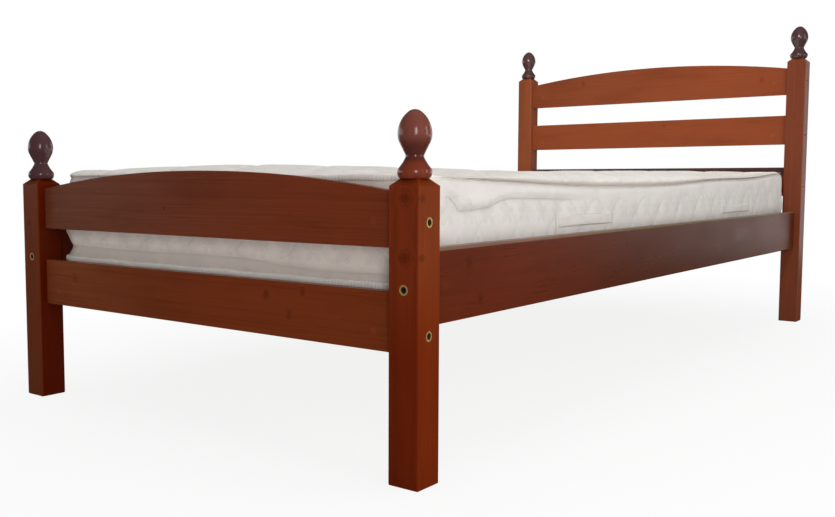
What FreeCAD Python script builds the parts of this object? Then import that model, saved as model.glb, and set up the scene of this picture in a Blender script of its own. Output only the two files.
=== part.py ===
import FreeCAD
import Part
import math
import os

# A single bed in stained pine, made round a mattress that lies between its rails.
# X runs across the bed, Y from the foot to the head and Z up, in millimetres.
# The origin is on the floor, under the middle of the bed.

# Mattress, and the room left round it for tucking in the bedding
mattress_width = 900.0
mattress_length = 2000.0
mattress_border_height = 176.0
mattress_roll_rise = 9.0
mattress_roll_reach = 34.0
mattress_dome_rise = 7.0
mattress_dome_reach = 240.0
mattress_corner_radius = 80.0
mattress_side_draw = 5.0
mattress_border_bulge = 5.0
mattress_under_edge = 12.0
tape_height = 11.0
tape_thickness = 3.0
tape_lift = 6.0
tape_fit = 0.2
bedding_room_side = 5.5
bedding_room_end = 5.5
rest_clearance = 0.3

# Posts: square, with eased edges and a hipped top under the finial
post_size = 53.0
post_edge_round = 2.5
post_foot_chamfer = 1.5
hip_rise = 11.0
hip_inset = 12.0
foot_post_over_rail = 8.0
head_post_over_rail = 17.5

# Finials: a ring, a hollow, a neck and an egg, turned in one piece with a spigot
finial_height = 97.0
finial_base_radius = 21.5
finial_ring_radius = 25.0
finial_ring_top_radius = 23.4
finial_quirk_depth = 0.4
finial_neck_radius = 13.3
finial_egg_radius = 24.5
finial_egg_under_radius = 27.5
finial_egg_tip_radius = 15.0
spigot_radius = 7.0
spigot_length = 20.0
spigot_fit = 0.1
spigot_end_room = 0.5

# End rails: boards between the posts, the top ones arched
end_board_thickness = 19.0
board_edge_round = 2.0
plain_rail_height = 89.0
crest_end_height = 80.5
crest_rise = 33.0
foot_lower_rail_bottom = 189.5
foot_rail_gap = 63.0
head_lower_rail_bottom = 389.0
head_lower_gap = 71.0
head_upper_gap = 64.0

# Side rails, the ledgers screwed to them and the slats laid on the ledgers
side_board_thickness = 19.0
side_rail_height = 113.0
side_rail_bottom = 228.0
ledger_width = 22.0
ledger_height = 22.0
ledger_lift = 4.0
ledger_end_room = 2.0
ledger_edge_round = 1.5
slat_count = 13
slat_width = 70.0
slat_thickness = 18.0
slat_side_room = 1.0
slat_end_room = 20.0
slat_edge_round = 3.0

# Connector bolts: socket heads let into the posts, pulling on barrel nuts in the rails
bolt_radius = 3.0
bolt_hole_radius = 3.5
bolt_head_radius = 7.6
bolt_head_thickness = 3.4
bolt_head_recess = 0.6
bolt_head_fit = 0.3
bolt_well_radius = 5.0
bolt_well_depth = 1.4
bolt_socket_flats = 4.0
bolt_socket_depth = 3.5
bolt_end_past_nut = 3.0
bolt_end_room = 2.0
nut_radius = 5.0
nut_length = 14.0
nut_setback = 40.0
nut_fit = 0.15
plain_bolt_rise = 29.0
crest_bolt_rise = 38.0

# Dowels that keep each rail from turning on its bolt
dowel_radius = 4.0
dowel_post_depth = 18.0
dowel_rail_depth = 25.0
dowel_end_room = 0.5
dowel_fit = 0.1
plain_dowel_rise = 71.0
crest_dowel_rise = 64.0
side_dowel_rise = 90.0

# Wood screws that hold the ledgers
screw_radius = 2.0
screw_head_radius = 4.0
screw_sink = 0.3
screw_fit = 0.1
ledger_screw_length = 34.0
slats_per_ledger_screw = 3

# One overrun serves all cuts that run out through a face
overrun = 1.0

# Shares of the finial's height at its ring, quirk, neck and egg
ring_share = 0.10
quirk_share = 0.15
neck_share = 0.31
neck_top_share = 0.34
egg_share = 0.64
# Half way up the hollow over the ring, share of the way out from the neck
hollow_share = 0.42
# Round the mattress: share of the inset, share of the height
under_edge_shares = ((1.00, 0.00), (0.35, 0.40), (0.00, 1.00))
border_shares = ((1.00, 0.00), (0.35, 0.15), (0.00, 0.50), (0.35, 0.85), (1.00, 1.00))
roll_shares = ((0.00, 0.00), (0.12, 0.40), (0.45, 0.78), (1.00, 1.00))
dome_shares = ((0.00, 0.00), (0.25, 0.45), (0.60, 0.83), (1.00, 1.00))

# Places worked out from the sizes above
side_setback = (post_size - side_board_thickness) / 2
end_setback = (post_size - end_board_thickness) / 2
overall_width = mattress_width + 2 * (bedding_room_side + side_board_thickness + side_setback)
overall_length = mattress_length + 2 * (bedding_room_end + end_board_thickness + end_setback)
post_x = (overall_width - post_size) / 2
post_y = (overall_length - post_size) / 2
end_span = overall_width - 2 * post_size
side_span = overall_length - 2 * post_size
side_inner_x = post_x - side_board_thickness / 2
foot_top_rail_bottom = foot_lower_rail_bottom + plain_rail_height + foot_rail_gap
head_middle_rail_bottom = head_lower_rail_bottom + plain_rail_height + head_lower_gap
head_top_rail_bottom = head_middle_rail_bottom + plain_rail_height + head_upper_gap
foot_shoulder = foot_top_rail_bottom + crest_end_height + foot_post_over_rail
head_shoulder = head_top_rail_bottom + crest_end_height + head_post_over_rail
ledger_bottom = side_rail_bottom + ledger_lift
slat_bottom = ledger_bottom + ledger_height
mattress_bottom = slat_bottom + slat_thickness + rest_clearance

# Sides and ends of the bed, and the rails of each end as (name, bottom, arched)
SIDES = (("left", -1), ("right", 1))
ENDS = (("foot", -1, foot_shoulder), ("head", 1, head_shoulder))
END_RAILS = {
    "foot": (("foot_lower_rail", foot_lower_rail_bottom, False),
             ("foot_top_rail", foot_top_rail_bottom, True)),
    "head": (("head_lower_rail", head_lower_rail_bottom, False),
             ("head_middle_rail", head_middle_rail_bottom, False),
             ("head_top_rail", head_top_rail_bottom, True)),
}

X_AXIS = FreeCAD.Vector(1, 0, 0)
Y_AXIS = FreeCAD.Vector(0, 1, 0)
Z_AXIS = FreeCAD.Vector(0, 0, 1)


def block(size_x, size_y, size_z, centre_x, centre_y, bottom):
    """A box centred in plan, standing on its bottom height."""
    corner = FreeCAD.Vector(centre_x - size_x / 2, centre_y - size_y / 2, bottom)
    return Part.makeBox(size_x, size_y, size_z, corner)


def edges_along(shape, axis):
    """The straight edges of a shape that run along an axis."""
    found = []
    for edge in shape.Edges:
        run = edge.lastVertex().Point - edge.firstVertex().Point
        if run.Length > 0 and run.cross(axis).Length < run.Length * 1e-6:
            found.append(edge)
    return found


def rod(radius, start, direction, length):
    """A round bar or drill from a start point along a direction."""
    return Part.makeCylinder(radius, length, start, direction)


def cut_all(shape, cutters):
    """A shape with a list of cutters taken out."""
    return shape.cut(Part.makeCompound(cutters)) if cutters else shape


class Joinery:
    """Fasteners made so far, and the cuts that they need in each wooden piece."""

    def __init__(self):
        self.groups = {}
        self.cuts = {}

    def fit(self, group, solid):
        self.groups.setdefault(group, []).append(solid)

    def cut(self, node, cutter):
        self.cuts.setdefault(node, []).append(cutter)

    def finish(self, node, shape):
        return cut_all(shape, self.cuts.get(node, []))


def connector_bolt(head_point, inward, reach):
    """A bolt whose dished head holds a hexagon socket; reach is its length under the head."""
    head = rod(bolt_head_radius, head_point, inward, bolt_head_thickness)
    well = rod(bolt_well_radius, head_point - inward * overrun, inward, bolt_well_depth + overrun)
    shank = rod(bolt_radius, head_point + inward * bolt_head_thickness, inward, reach)
    socket_turn = FreeCAD.Rotation(Z_AXIS, inward)
    corner_radius = bolt_socket_flats / 3 ** 0.5
    corners = []
    for step in range(7):
        turned = FreeCAD.Rotation(Z_AXIS, 60 * step).multVec(X_AXIS) * corner_radius
        corners.append(head_point + socket_turn.multVec(turned))
    socket = Part.Face(Part.makePolygon(corners))
    socket = socket.extrude(inward * (bolt_well_depth + bolt_socket_depth))
    return head.fuse(shank).removeSplitter().cut(well).cut(socket)


def barrel_nut(centre, axis, bolt_axis):
    """A short cylinder across the bolt, with the bolt's hole through it."""
    body = rod(nut_radius, centre - axis * (nut_length / 2), axis, nut_length)
    start = centre - bolt_axis * (nut_radius + overrun)
    hole = rod(bolt_radius + nut_fit, start, bolt_axis, 2 * (nut_radius + overrun))
    return body.cut(hole)


def add_bolt(joinery, group, post, rail, outer_point, inward, nut_axis, board):
    """Bolt a rail's end to a post; nut_axis points to the rail's hidden face."""
    joint_point = outer_point + inward * post_size
    head_point = outer_point + inward * bolt_head_recess
    nut_centre = joint_point + inward * nut_setback
    past_joint = nut_setback + nut_radius + bolt_end_past_nut
    reach = post_size - bolt_head_recess - bolt_head_thickness + past_joint
    joinery.fit(group + "_bolts", connector_bolt(head_point, inward, reach))
    joinery.fit(group + "_nuts", barrel_nut(nut_centre, nut_axis, inward))

    counterbore_depth = overrun + bolt_head_recess + bolt_head_thickness
    start = outer_point - inward * overrun
    joinery.cut(post, rod(bolt_head_radius + bolt_head_fit, start, inward, counterbore_depth))
    joinery.cut(post, rod(bolt_hole_radius, start, inward, post_size + 2 * overrun))
    hole_depth = past_joint + bolt_end_room + overrun
    joinery.cut(rail, rod(bolt_hole_radius, joint_point - inward * overrun, inward, hole_depth))
    nut_floor = nut_centre - nut_axis * (nut_length / 2 + nut_fit)
    nut_hole = (nut_length + board) / 2 + nut_fit + overrun
    joinery.cut(rail, rod(nut_radius + nut_fit, nut_floor, nut_axis, nut_hole))


def add_dowel(joinery, group, post, rail, joint_point, inward):
    """Peg a rail's end to a post across their meeting faces."""
    start = joint_point - inward * (dowel_post_depth - dowel_end_room)
    length = dowel_post_depth + dowel_rail_depth - 2 * dowel_end_room
    joinery.fit(group + "_dowels", rod(dowel_radius, start, inward, length))
    hole_radius = dowel_radius + dowel_fit
    step = inward * overrun
    joinery.cut(post, rod(hole_radius, joint_point + step, -inward, dowel_post_depth + overrun))
    joinery.cut(rail, rod(hole_radius, joint_point - step, inward, dowel_rail_depth + overrun))


def wood_screw(head_point, inward, length, extra):
    """A countersunk screw, made larger all round by extra to cut its hole."""
    cone_height = screw_head_radius - screw_radius
    shank_radius = screw_radius + extra
    cone = Part.makeCone(screw_head_radius + extra, shank_radius, cone_height, head_point, inward)
    shank_point = head_point + inward * cone_height
    shank = rod(shank_radius, shank_point, inward, length - cone_height + extra)
    return cone.fuse(shank)


def add_screw(joinery, group, pieces, surface_point, inward, length):
    """Screw through a first piece into a second one, its head just under the surface."""
    head_point = surface_point + inward * screw_sink
    joinery.fit(group, wood_screw(head_point, inward, length, 0))
    hole = wood_screw(head_point, inward, length, screw_fit)
    mouth = rod(screw_head_radius + screw_fit, head_point, -inward, screw_sink + overrun)
    joinery.cut(pieces[0], hole.fuse(mouth))
    joinery.cut(pieces[1], hole)


def post(side, end, shoulder):
    """A square post with eased edges, a hipped top and a bore for the finial's spigot."""
    x = side * post_x
    y = end * post_y
    top = shoulder + hip_rise
    shaft = block(post_size, post_size, top, x, y, 0)
    shaft = shaft.makeFillet(post_edge_round, edges_along(shaft, Z_AXIS))
    foot_face = min(shaft.Faces, key=lambda face: face.CenterOfMass.z)
    shaft = shaft.makeChamfer(post_foot_chamfer, foot_face.Edges)

    def square(half, height):
        signs = ((-1, -1), (1, -1), (1, 1), (-1, 1), (-1, -1))
        return Part.makePolygon([FreeCAD.Vector(x + half * a, y + half * b, height) for a, b in signs])

    hip_outlines = [square(post_size / 2, shoulder), square(post_size / 2 - hip_inset, top)]
    hip = Part.makeLoft(hip_outlines, True, True)
    envelope = block(post_size, post_size, shoulder, x, y, 0).fuse(hip)
    shaped = shaft.common(envelope).removeSplitter()
    bore_depth = spigot_length + spigot_end_room
    mouth = FreeCAD.Vector(x, y, top + overrun)
    return shaped.cut(rod(spigot_radius + spigot_fit, mouth, -Z_AXIS, bore_depth + overrun))


def tangent_point(centre, radius, point):
    """Where the line from a point under a circle meets it on its outer side, in the X-Z plane."""
    away = point - centre
    turn = math.atan2(away.z, away.x) + math.acos(radius / away.Length)
    return centre + FreeCAD.Vector(math.cos(turn), 0, math.sin(turn)) * radius


def arc_about(centre, start, stop):
    """An arc of under a half circle about a centre, from start to stop."""
    bisector = (start - centre) + (stop - centre)
    middle = centre + bisector * ((start - centre).Length / bisector.Length)
    return Part.Arc(start, middle, stop).toShape()


def finial(side, end, shoulder):
    """A turned finial on its post: ring, quirk, hollow, neck and egg, over a spigot."""
    x = side * post_x
    y = end * post_y
    base = shoulder + hip_rise

    def at(radius, share):
        return FreeCAD.Vector(x + radius, y, base + finial_height * share)

    axis_base = at(0, 0)
    bottom = at(finial_base_radius, 0)
    ring = at(finial_ring_radius, ring_share)
    ring_top = at(finial_ring_top_radius, quirk_share)
    hollow_foot = at(finial_ring_top_radius - finial_quirk_depth, quirk_share)
    neck = at(finial_neck_radius, neck_share)
    neck_top = at(finial_neck_radius, neck_top_share)
    hollow_out = (hollow_foot.x - neck.x) * hollow_share
    hollow = FreeCAD.Vector(neck.x + hollow_out, y, (hollow_foot.z + neck.z) / 2)

    # The egg: a straight taper, a swell, a long flank and a round tip, each tangent to the next
    egg = at(finial_egg_radius, egg_share)
    tip = at(0, 1)
    swell_centre = egg - X_AXIS * finial_egg_under_radius
    swell_foot = tangent_point(swell_centre, finial_egg_under_radius, neck_top)
    rise = tip.z - egg.z
    tip_radius = finial_egg_tip_radius
    flank_reach = finial_egg_radius ** 2 + rise ** 2 - 2 * rise * tip_radius
    flank_radius = flank_reach / (2 * (finial_egg_radius - tip_radius))
    flank_centre = egg - X_AXIS * flank_radius
    tip_centre = tip - Z_AXIS * tip_radius
    flank_run = (tip_centre - flank_centre).normalize()
    flank_top = flank_centre + flank_run * flank_radius

    spigot_side = at(spigot_radius, 0)
    drop = Z_AXIS * -spigot_length
    edges = [
        Part.makeLine(axis_base + drop, spigot_side + drop),
        Part.makeLine(spigot_side + drop, spigot_side),
        Part.makeLine(spigot_side, bottom),
        Part.Arc(bottom, ring, ring_top).toShape(),
        Part.makeLine(ring_top, hollow_foot),
        Part.Arc(hollow_foot, hollow, neck).toShape(),
        Part.makeLine(neck, neck_top),
        Part.makeLine(neck_top, swell_foot),
        arc_about(swell_centre, swell_foot, egg),
        arc_about(flank_centre, egg, flank_top),
        arc_about(tip_centre, flank_top, tip),
        Part.makeLine(tip, axis_base + drop),
    ]
    return Part.Face(Part.Wire(edges)).revolve(axis_base, Z_AXIS, 360)


def end_rail(end, bottom, arched):
    """A board between two posts; an arched one rises to its middle."""
    half = end_span / 2
    y = end * post_y - end_board_thickness / 2
    side_height = crest_end_height if arched else plain_rail_height
    left_foot = FreeCAD.Vector(-half, y, bottom)
    right_foot = FreeCAD.Vector(half, y, bottom)
    lift = FreeCAD.Vector(0, 0, side_height)
    if arched:
        crest = FreeCAD.Vector(0, y, bottom + side_height + crest_rise)
        top = Part.Arc(right_foot + lift, crest, left_foot + lift).toShape()
    else:
        top = Part.makeLine(right_foot + lift, left_foot + lift)
    outline = Part.Wire([
        Part.makeLine(left_foot, right_foot),
        Part.makeLine(right_foot, right_foot + lift),
        top,
        Part.makeLine(left_foot + lift, left_foot),
    ])
    board = Part.Face(outline).extrude(Y_AXIS * end_board_thickness)
    long_edges = [edge for edge in board.Edges if edge.Length > half]
    return board.makeFillet(board_edge_round, long_edges)


def side_rail(side):
    """A deep board from the foot post to the head post."""
    board = block(side_board_thickness, side_span, side_rail_height, side * post_x, 0, side_rail_bottom)
    return board.makeFillet(board_edge_round, edges_along(board, Y_AXIS))


def ledger(side):
    """A cleat along the inner face of a side rail, under the slats."""
    length = side_span - 2 * ledger_end_room
    x = side * (side_inner_x - ledger_width / 2)
    strip = block(ledger_width, length, ledger_height, x, 0, ledger_bottom)
    centre = FreeCAD.Vector(x, 0, ledger_bottom + ledger_height / 2)
    inner_side = X_AXIS * -side - Z_AXIS
    edges = edges_along(strip, Y_AXIS)
    lower_inner = max(edges, key=lambda edge: (edge.CenterOfMass - centre).dot(inner_side))
    return strip.makeFillet(ledger_edge_round, [lower_inner])


def slat_places():
    """The middle of each slat along the bed."""
    first = slat_end_room + slat_width / 2 - side_span / 2
    pitch = -2 * first / (slat_count - 1)
    return [first + pitch * index for index in range(slat_count)]


def slat(y):
    """A board across the bed, laid on both ledgers."""
    length = 2 * (side_inner_x - slat_side_room)
    board = block(length, slat_width, slat_thickness, 0, y, slat_bottom)
    return board.makeFillet(slat_edge_round, edges_along(board, X_AXIS))


def mattress_outline(inset, height):
    """A rounded rectangle whose sides draw in between its corners."""
    half_x = mattress_width / 2 - inset
    half_y = mattress_length / 2 - inset
    radius = mattress_corner_radius
    flat_x = half_x - radius
    flat_y = half_y - radius
    diagonal = radius / 2 ** 0.5
    end_draw = mattress_side_draw * mattress_width / mattress_length

    def at(x, y):
        return FreeCAD.Vector(x, y, height)

    edges = []
    for turn_x, turn_y in ((1, -1), (1, 1), (-1, 1), (-1, -1)):
        on_end = at(turn_x * flat_x, turn_y * half_y)
        on_side = at(turn_x * half_x, turn_y * flat_y)
        corner = at(turn_x * (flat_x + diagonal), turn_y * (flat_y + diagonal))
        if turn_x * turn_y < 0:
            middle = at(turn_x * (half_x - mattress_side_draw), 0)
            edges.append(Part.Arc(on_end, corner, on_side).toShape())
            edges.append(Part.Arc(on_side, middle, at(turn_x * half_x, -turn_y * flat_y)).toShape())
        else:
            middle = at(0, turn_y * (half_y - end_draw))
            edges.append(Part.Arc(on_side, corner, on_end).toShape())
            edges.append(Part.Arc(on_end, middle, at(-turn_x * flat_x, turn_y * half_y)).toShape())
    return Part.Wire(edges)


def mattress_loft(shares, edge_inset, reach, low, rise):
    """A soft band of the mattress, through outlines given as shares of a reach and a rise."""
    wires = [mattress_outline(edge_inset + reach * inset, low + rise * up) for inset, up in shares]
    return Part.makeLoft(wires, True, True)


tape_inset = mattress_border_bulge
tape_seat_inset = tape_inset + tape_thickness
bottom_tape_low = mattress_bottom + tape_lift
bottom_tape_high = bottom_tape_low + tape_height
top_tape_high = mattress_bottom + mattress_border_height
top_tape_low = top_tape_high - tape_height


def mattress():
    """A padded mattress: rolled underside, border that swells between its tapes, crowned top."""
    under = mattress_loft(
        under_edge_shares, tape_seat_inset, mattress_under_edge, mattress_bottom, tape_lift)
    border_rise = top_tape_low - bottom_tape_high
    border = mattress_loft(border_shares, 0, mattress_border_bulge, bottom_tape_high, border_rise)
    roll = mattress_loft(roll_shares, tape_inset, mattress_roll_reach, top_tape_high, mattress_roll_rise)
    dome_inset = tape_inset + mattress_roll_reach
    dome_low = top_tape_high + mattress_roll_rise
    dome = mattress_loft(dome_shares, dome_inset, mattress_dome_reach, dome_low, mattress_dome_rise)
    bands = [border, roll, dome]
    for low in (bottom_tape_low, top_tape_low):
        bands.append(Part.Face(mattress_outline(tape_seat_inset, low)).extrude(Z_AXIS * tape_height))
    return under.multiFuse(bands)


def mattress_tape(low):
    """A sewn tape round the mattress, seated in the groove beside the border."""
    outer = Part.Face(mattress_outline(tape_inset, low))
    inner = Part.Face(mattress_outline(tape_seat_inset - tape_fit, low))
    return outer.cut(inner).extrude(Z_AXIS * tape_height)


def join_end_rails(joinery):
    """Bolt and peg every end rail to both of its posts."""
    for end_name, end, shoulder in ENDS:
        group = end_name + "_end"
        for rail, bottom, arched in END_RAILS[end_name]:
            bolt_rise = crest_bolt_rise if arched else plain_bolt_rise
            dowel_rise = crest_dowel_rise if arched else plain_dowel_rise
            for side_name, side in SIDES:
                post_name = end_name + "_post_" + side_name
                outer = FreeCAD.Vector(side * overall_width / 2, end * post_y, bottom + bolt_rise)
                peg = FreeCAD.Vector(side * end_span / 2, end * post_y, bottom + dowel_rise)
                inward = X_AXIS * -side
                # The foot's nuts go in from the mattress side, the headboard's from its back
                add_bolt(joinery, group, post_name, rail, outer, inward, Y_AXIS, end_board_thickness)
                add_dowel(joinery, group, post_name, rail, peg, inward)


def join_side_rails(joinery):
    """Bolt and peg both side rails to the foot and head posts."""
    middle = side_rail_bottom + side_rail_height / 2
    for side_name, side in SIDES:
        rail = "side_rail_" + side_name
        for end_name, end, shoulder in ENDS:
            post_name = end_name + "_post_" + side_name
            outer = FreeCAD.Vector(side * post_x, end * overall_length / 2, middle)
            inward = Y_AXIS * -end
            nut_axis = X_AXIS * -side
            add_bolt(joinery, "side_rail", post_name, rail, outer, inward, nut_axis, side_board_thickness)
            peg = FreeCAD.Vector(side * post_x, end * side_span / 2, side_rail_bottom + side_dowel_rise)
            add_dowel(joinery, "side_rail", post_name, rail, peg, inward)


def join_deck(joinery):
    """Screw the ledgers to the side rails, in gaps between the slats."""
    places = slat_places()
    for side_name, side in SIDES:
        strip = "ledger_" + side_name
        for index in range(0, slat_count - 1, slats_per_ledger_screw):
            y = (places[index] + places[index + 1]) / 2
            height = ledger_bottom + ledger_height / 2
            face = FreeCAD.Vector(side * (side_inner_x - ledger_width), y, height)
            pieces = (strip, "side_rail_" + side_name)
            add_screw(joinery, "ledger_screws", pieces, face, X_AXIS * side, ledger_screw_length)


def build():
    """Every piece of the bed by name."""
    joinery = Joinery()
    join_end_rails(joinery)
    join_side_rails(joinery)
    join_deck(joinery)
    pieces = {}
    for end_name, end, shoulder in ENDS:
        for side_name, side in SIDES:
            pieces[end_name + "_post_" + side_name] = post(side, end, shoulder)
            pieces["finial_" + end_name + "_" + side_name] = finial(side, end, shoulder)
        for name, bottom, arched in END_RAILS[end_name]:
            pieces[name] = end_rail(end, bottom, arched)
    for side_name, side in SIDES:
        pieces["side_rail_" + side_name] = side_rail(side)
        pieces["ledger_" + side_name] = ledger(side)
    for index, y in enumerate(slat_places()):
        pieces["slat_%02d" % (index + 1)] = slat(y)
    pieces = {name: joinery.finish(name, shape) for name, shape in pieces.items()}
    for group, solids in joinery.groups.items():
        pieces[group] = Part.makeCompound(solids)
    pieces["mattress"] = mattress()
    pieces["mattress_bottom_tape"] = mattress_tape(bottom_tape_low)
    pieces["mattress_top_tape"] = mattress_tape(top_tape_low)
    return pieces


os.makedirs("parts", exist_ok=True)
for node, shape in build().items():
    shape.exportStep("parts/" + node + ".step")
    print("%-22s solids %3d valid %s" % (node, len(shape.Solids), shape.isValid()))
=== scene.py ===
"""Finishes the pine single bed: its boards, finials, bolts and deck, and makes its quilted mattress."""

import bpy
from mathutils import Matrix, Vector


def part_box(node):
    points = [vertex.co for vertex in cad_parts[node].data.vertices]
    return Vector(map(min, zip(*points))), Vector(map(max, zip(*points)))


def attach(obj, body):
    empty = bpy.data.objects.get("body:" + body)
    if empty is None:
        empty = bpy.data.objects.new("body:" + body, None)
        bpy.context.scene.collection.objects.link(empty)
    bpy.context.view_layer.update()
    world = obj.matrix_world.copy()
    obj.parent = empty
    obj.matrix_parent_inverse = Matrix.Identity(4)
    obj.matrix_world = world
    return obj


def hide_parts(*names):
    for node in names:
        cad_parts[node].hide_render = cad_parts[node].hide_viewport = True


bl_info = {
    "name": "Pine Single Bed",
    "version": (1, 0, 0),
    "blender": (4, 5, 0),
    "location": "3D View > Sidebar > Bed",
    "description": "Stains the bed's boards, finishes its fittings and makes its quilted mattress",
    "category": "Object",
}

import math
import random

import bmesh
import bpy
import numpy as np
from mathutils import Euler, Matrix, Vector

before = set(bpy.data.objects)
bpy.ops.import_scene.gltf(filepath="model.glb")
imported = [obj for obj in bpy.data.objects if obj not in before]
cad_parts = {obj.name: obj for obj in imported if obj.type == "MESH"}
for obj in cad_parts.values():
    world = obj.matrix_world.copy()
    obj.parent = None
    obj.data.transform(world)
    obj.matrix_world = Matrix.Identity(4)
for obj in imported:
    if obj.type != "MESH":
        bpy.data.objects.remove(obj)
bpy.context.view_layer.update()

MM = 0.001


def srgb(red, green, blue):
    """A colour given as screen values from 0 to 255, as the linear values that shaders use."""
    shares = (red / 255, green / 255, blue / 255)
    return tuple(c / 12.92 if c <= 0.04 else ((c + 0.055) / 1.055) ** 2.4 for c in shares)


def opaque(colour, shares=(1.0, 1.0, 1.0)):
    """A colour as a socket takes it, with each channel multiplied by its share."""
    return (*(c * share for c, share in zip(colour, shares)), 1)


def darker(colour, share):
    """A colour as a socket takes it, darkened to a share of itself."""
    return opaque(colour, (share, share, share))


# Groups of like pieces in the frame

FOOT_POSTS = ("foot_post_left", "foot_post_right")
HEAD_POSTS = ("head_post_left", "head_post_right")
FOOT_RAILS = ("foot_lower_rail", "foot_top_rail")
HEAD_RAILS = ("head_lower_rail", "head_middle_rail", "head_top_rail")
SIDE_RAILS = ("side_rail_left", "side_rail_right")
FINIALS = ("finial_foot_left", "finial_foot_right", "finial_head_left", "finial_head_right")
SLATS = tuple(sorted(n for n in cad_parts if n.startswith("slat_")))
LEDGERS = ("ledger_left", "ledger_right")
DOWELS = ("foot_end_dowels", "head_end_dowels", "side_rail_dowels")
BOLT_AXES = {"foot_end_bolts": 0, "head_end_bolts": 0, "side_rail_bolts": 1}
STEEL = ("foot_end_nuts", "head_end_nuts", "side_rail_nuts", "ledger_screws")

# The turn that lays a pattern's Z along a board that runs in X, Y or Z
GRAIN_TURN = {"X": (0, math.pi / 2, 0), "Y": (-math.pi / 2, 0, 0), "Z": (0, 0, 0)}

# Knots as shares of a board's box in X, Y and Z, with their radius in metres
KNOT_SHARES = {
    "foot_post_right": (((0.55, 0.02, 0.938), 0.007), ((0.53, 0.02, 0.748), 0.0075),
                        ((0.99, 0.15, 0.936), 0.006), ((0.99, 0.14, 0.750), 0.0055),
                        ((0.3, 0.7, 0.4), 0.007)),
    "foot_post_left": (((0.4, 0.1, 0.80), 0.007), ((0.7, 0.3, 0.35), 0.008)),
    "foot_lower_rail": (((0.11, 0.0, 0.64), 0.006), ((0.705, 0.0, 0.74), 0.0065),
                        ((0.795, 0.0, 0.86), 0.006), ((0.762, 0.0, 0.41), 0.0055)),
    "foot_top_rail": (((0.42, 0.0, 0.42), 0.004), ((0.86, 1.0, 0.30), 0.006)),
    "side_rail_right": (((1.0, 0.053, 0.75), 0.008), ((1.0, 0.07, 0.245), 0.007),
                        ((1.0, 0.62, 0.55), 0.005)),
    "side_rail_left": (((0.0, 0.22, 0.6), 0.007), ((0.0, 0.71, 0.3), 0.008)),
    "head_top_rail": (((0.224, 0.0, 0.68), 0.008), ((0.911, 0.0, 0.44), 0.008)),
    "head_middle_rail": (((0.56, 0.0, 0.8), 0.006), ((0.15, 1.0, 0.6), 0.007)),
    "head_lower_rail": (((0.33, 0.0, 0.5), 0.007),),
    "head_post_left": (((0.3, 0.2, 0.55), 0.008), ((0.6, 0.6, 0.25), 0.007)),
    "head_post_right": (((0.8, 0.2, 0.62), 0.007), ((0.9, 0.5, 0.3), 0.008)),
}

# Ways through a board's box along which its tone may turn, and a tone that changes nothing
RIGHTWARD, HEADWARD, UPWARD = (1, 0, 0), (0, 1, 0), (0, 0, 1)
FOOT_FACE_TO_SIDE = (1, 1, 0)
UP_THE_FRONT = (0, -0.35, 1)
EVEN = (1.0, 1.0, 1.0)

# Painted highlight along the upper edge of a side rail, where its rounding catches the light, in a band that
# narrows towards the head
PAINTED_EDGE_HIGHLIGHT = ((0, -0.035, 1), 0.945, 0.960, EVEN, (1.8, 6.4, 19.0))

# Tone over the stain, mostly painted light and shade and in part uneven stain: a way through a board's box,
# the shares along it between which the tone turns, and both tones
TONE_AND_LIGHT_SPLITS = {
    # Posts: foot faces and side faces tinted apart as painted shade and painted light; the right foot post
    # darker towards the bottom
    "foot_post_right": ((FOOT_FACE_TO_SIDE, 0.93, 1.07, (1.02, 1.02, 1.15), (1.10, 1.30, 0.92)),
                        (UPWARD, 0.38, 0.80, (0.84, 0.57, 0.09), EVEN)),
    "foot_post_left": ((FOOT_FACE_TO_SIDE, 0.93, 1.07, (0.93, 1.35, 1.95), (0.57, 0.32, 0.08)),),
    "head_post_right": ((FOOT_FACE_TO_SIDE, 0.93, 1.07, (0.78, 0.84, 1.05), (0.95, 1.0, 1.0)),),
    "head_post_left": ((UPWARD, 0.30, 0.90, (1.0, 1.10, 1.15), (1.02, 1.15, 1.24)),),
    "head_top_rail": ((RIGHTWARD, 0.30, 0.80, (0.90, 0.94, 1.02), EVEN),),
    # Painted shadow along the upper front of the head's lower rail
    "head_lower_rail": ((UP_THE_FRONT, 0.66, 0.80, EVEN, (0.26, 0.54, 1.5)),),
    # Foot rails: painted grey sheen towards their left ends, where they mirror the room
    "foot_top_rail": ((RIGHTWARD, 0.10, 0.80, (0.92, 1.34, 2.15), (1.03, 0.97, 1.02)),),
    "foot_lower_rail": ((RIGHTWARD, 0.05, 0.60, (1.15, 1.38, 1.30), (1.05, 0.92, 0.62)),),
    # Right side rail: painted shade along its middle, painted sheen towards the head, and the painted edge
    # highlight
    "side_rail_right": ((HEADWARD, 0.10, 0.45, (1.0, 0.90, 0.70), (0.69, 0.73, 0.30)),
                        (HEADWARD, 0.60, 0.95, EVEN, (1.45, 1.5, 2.0)), PAINTED_EDGE_HIGHLIGHT),
    "side_rail_left": (PAINTED_EDGE_HIGHLIGHT,),
    # Right foot finial: a lighter, more orange ring below an egg with painted sheen, the egg's lower half in
    # painted shade
    "finial_foot_right": ((UPWARD, 0.34, 0.42, (2.30, 2.75, 1.95), (1.18, 1.50, 1.90)),
                          (UPWARD, 0.54, 0.70, (0.53, 0.37, 0.36), (1.0, 1.06, 1.14))),
    "finial_head_left": ((UPWARD, 0.30, 0.90, (0.80, 0.97, 0.74), (0.90, 1.05, 0.82)),),
    "finial_head_right": ((UPWARD, 0.30, 0.90, (0.77, 0.94, 0.86), (0.87, 1.03, 0.97)),),
}

# Finishes of wood: shine of the face, roughness, and the weight of a polished coat over it
SATIN = {"gloss": 0.10, "sheen": 0.18}
POLISHED = {"gloss": 0.3, "sheen": 0.2, "polish": 0.95}
UNFINISHED = {"gloss": 0.15, "sheen": 0.55}
POLISH_ROUGHNESS = 0.17
GRAIN_RELIEF = 0.0006

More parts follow.
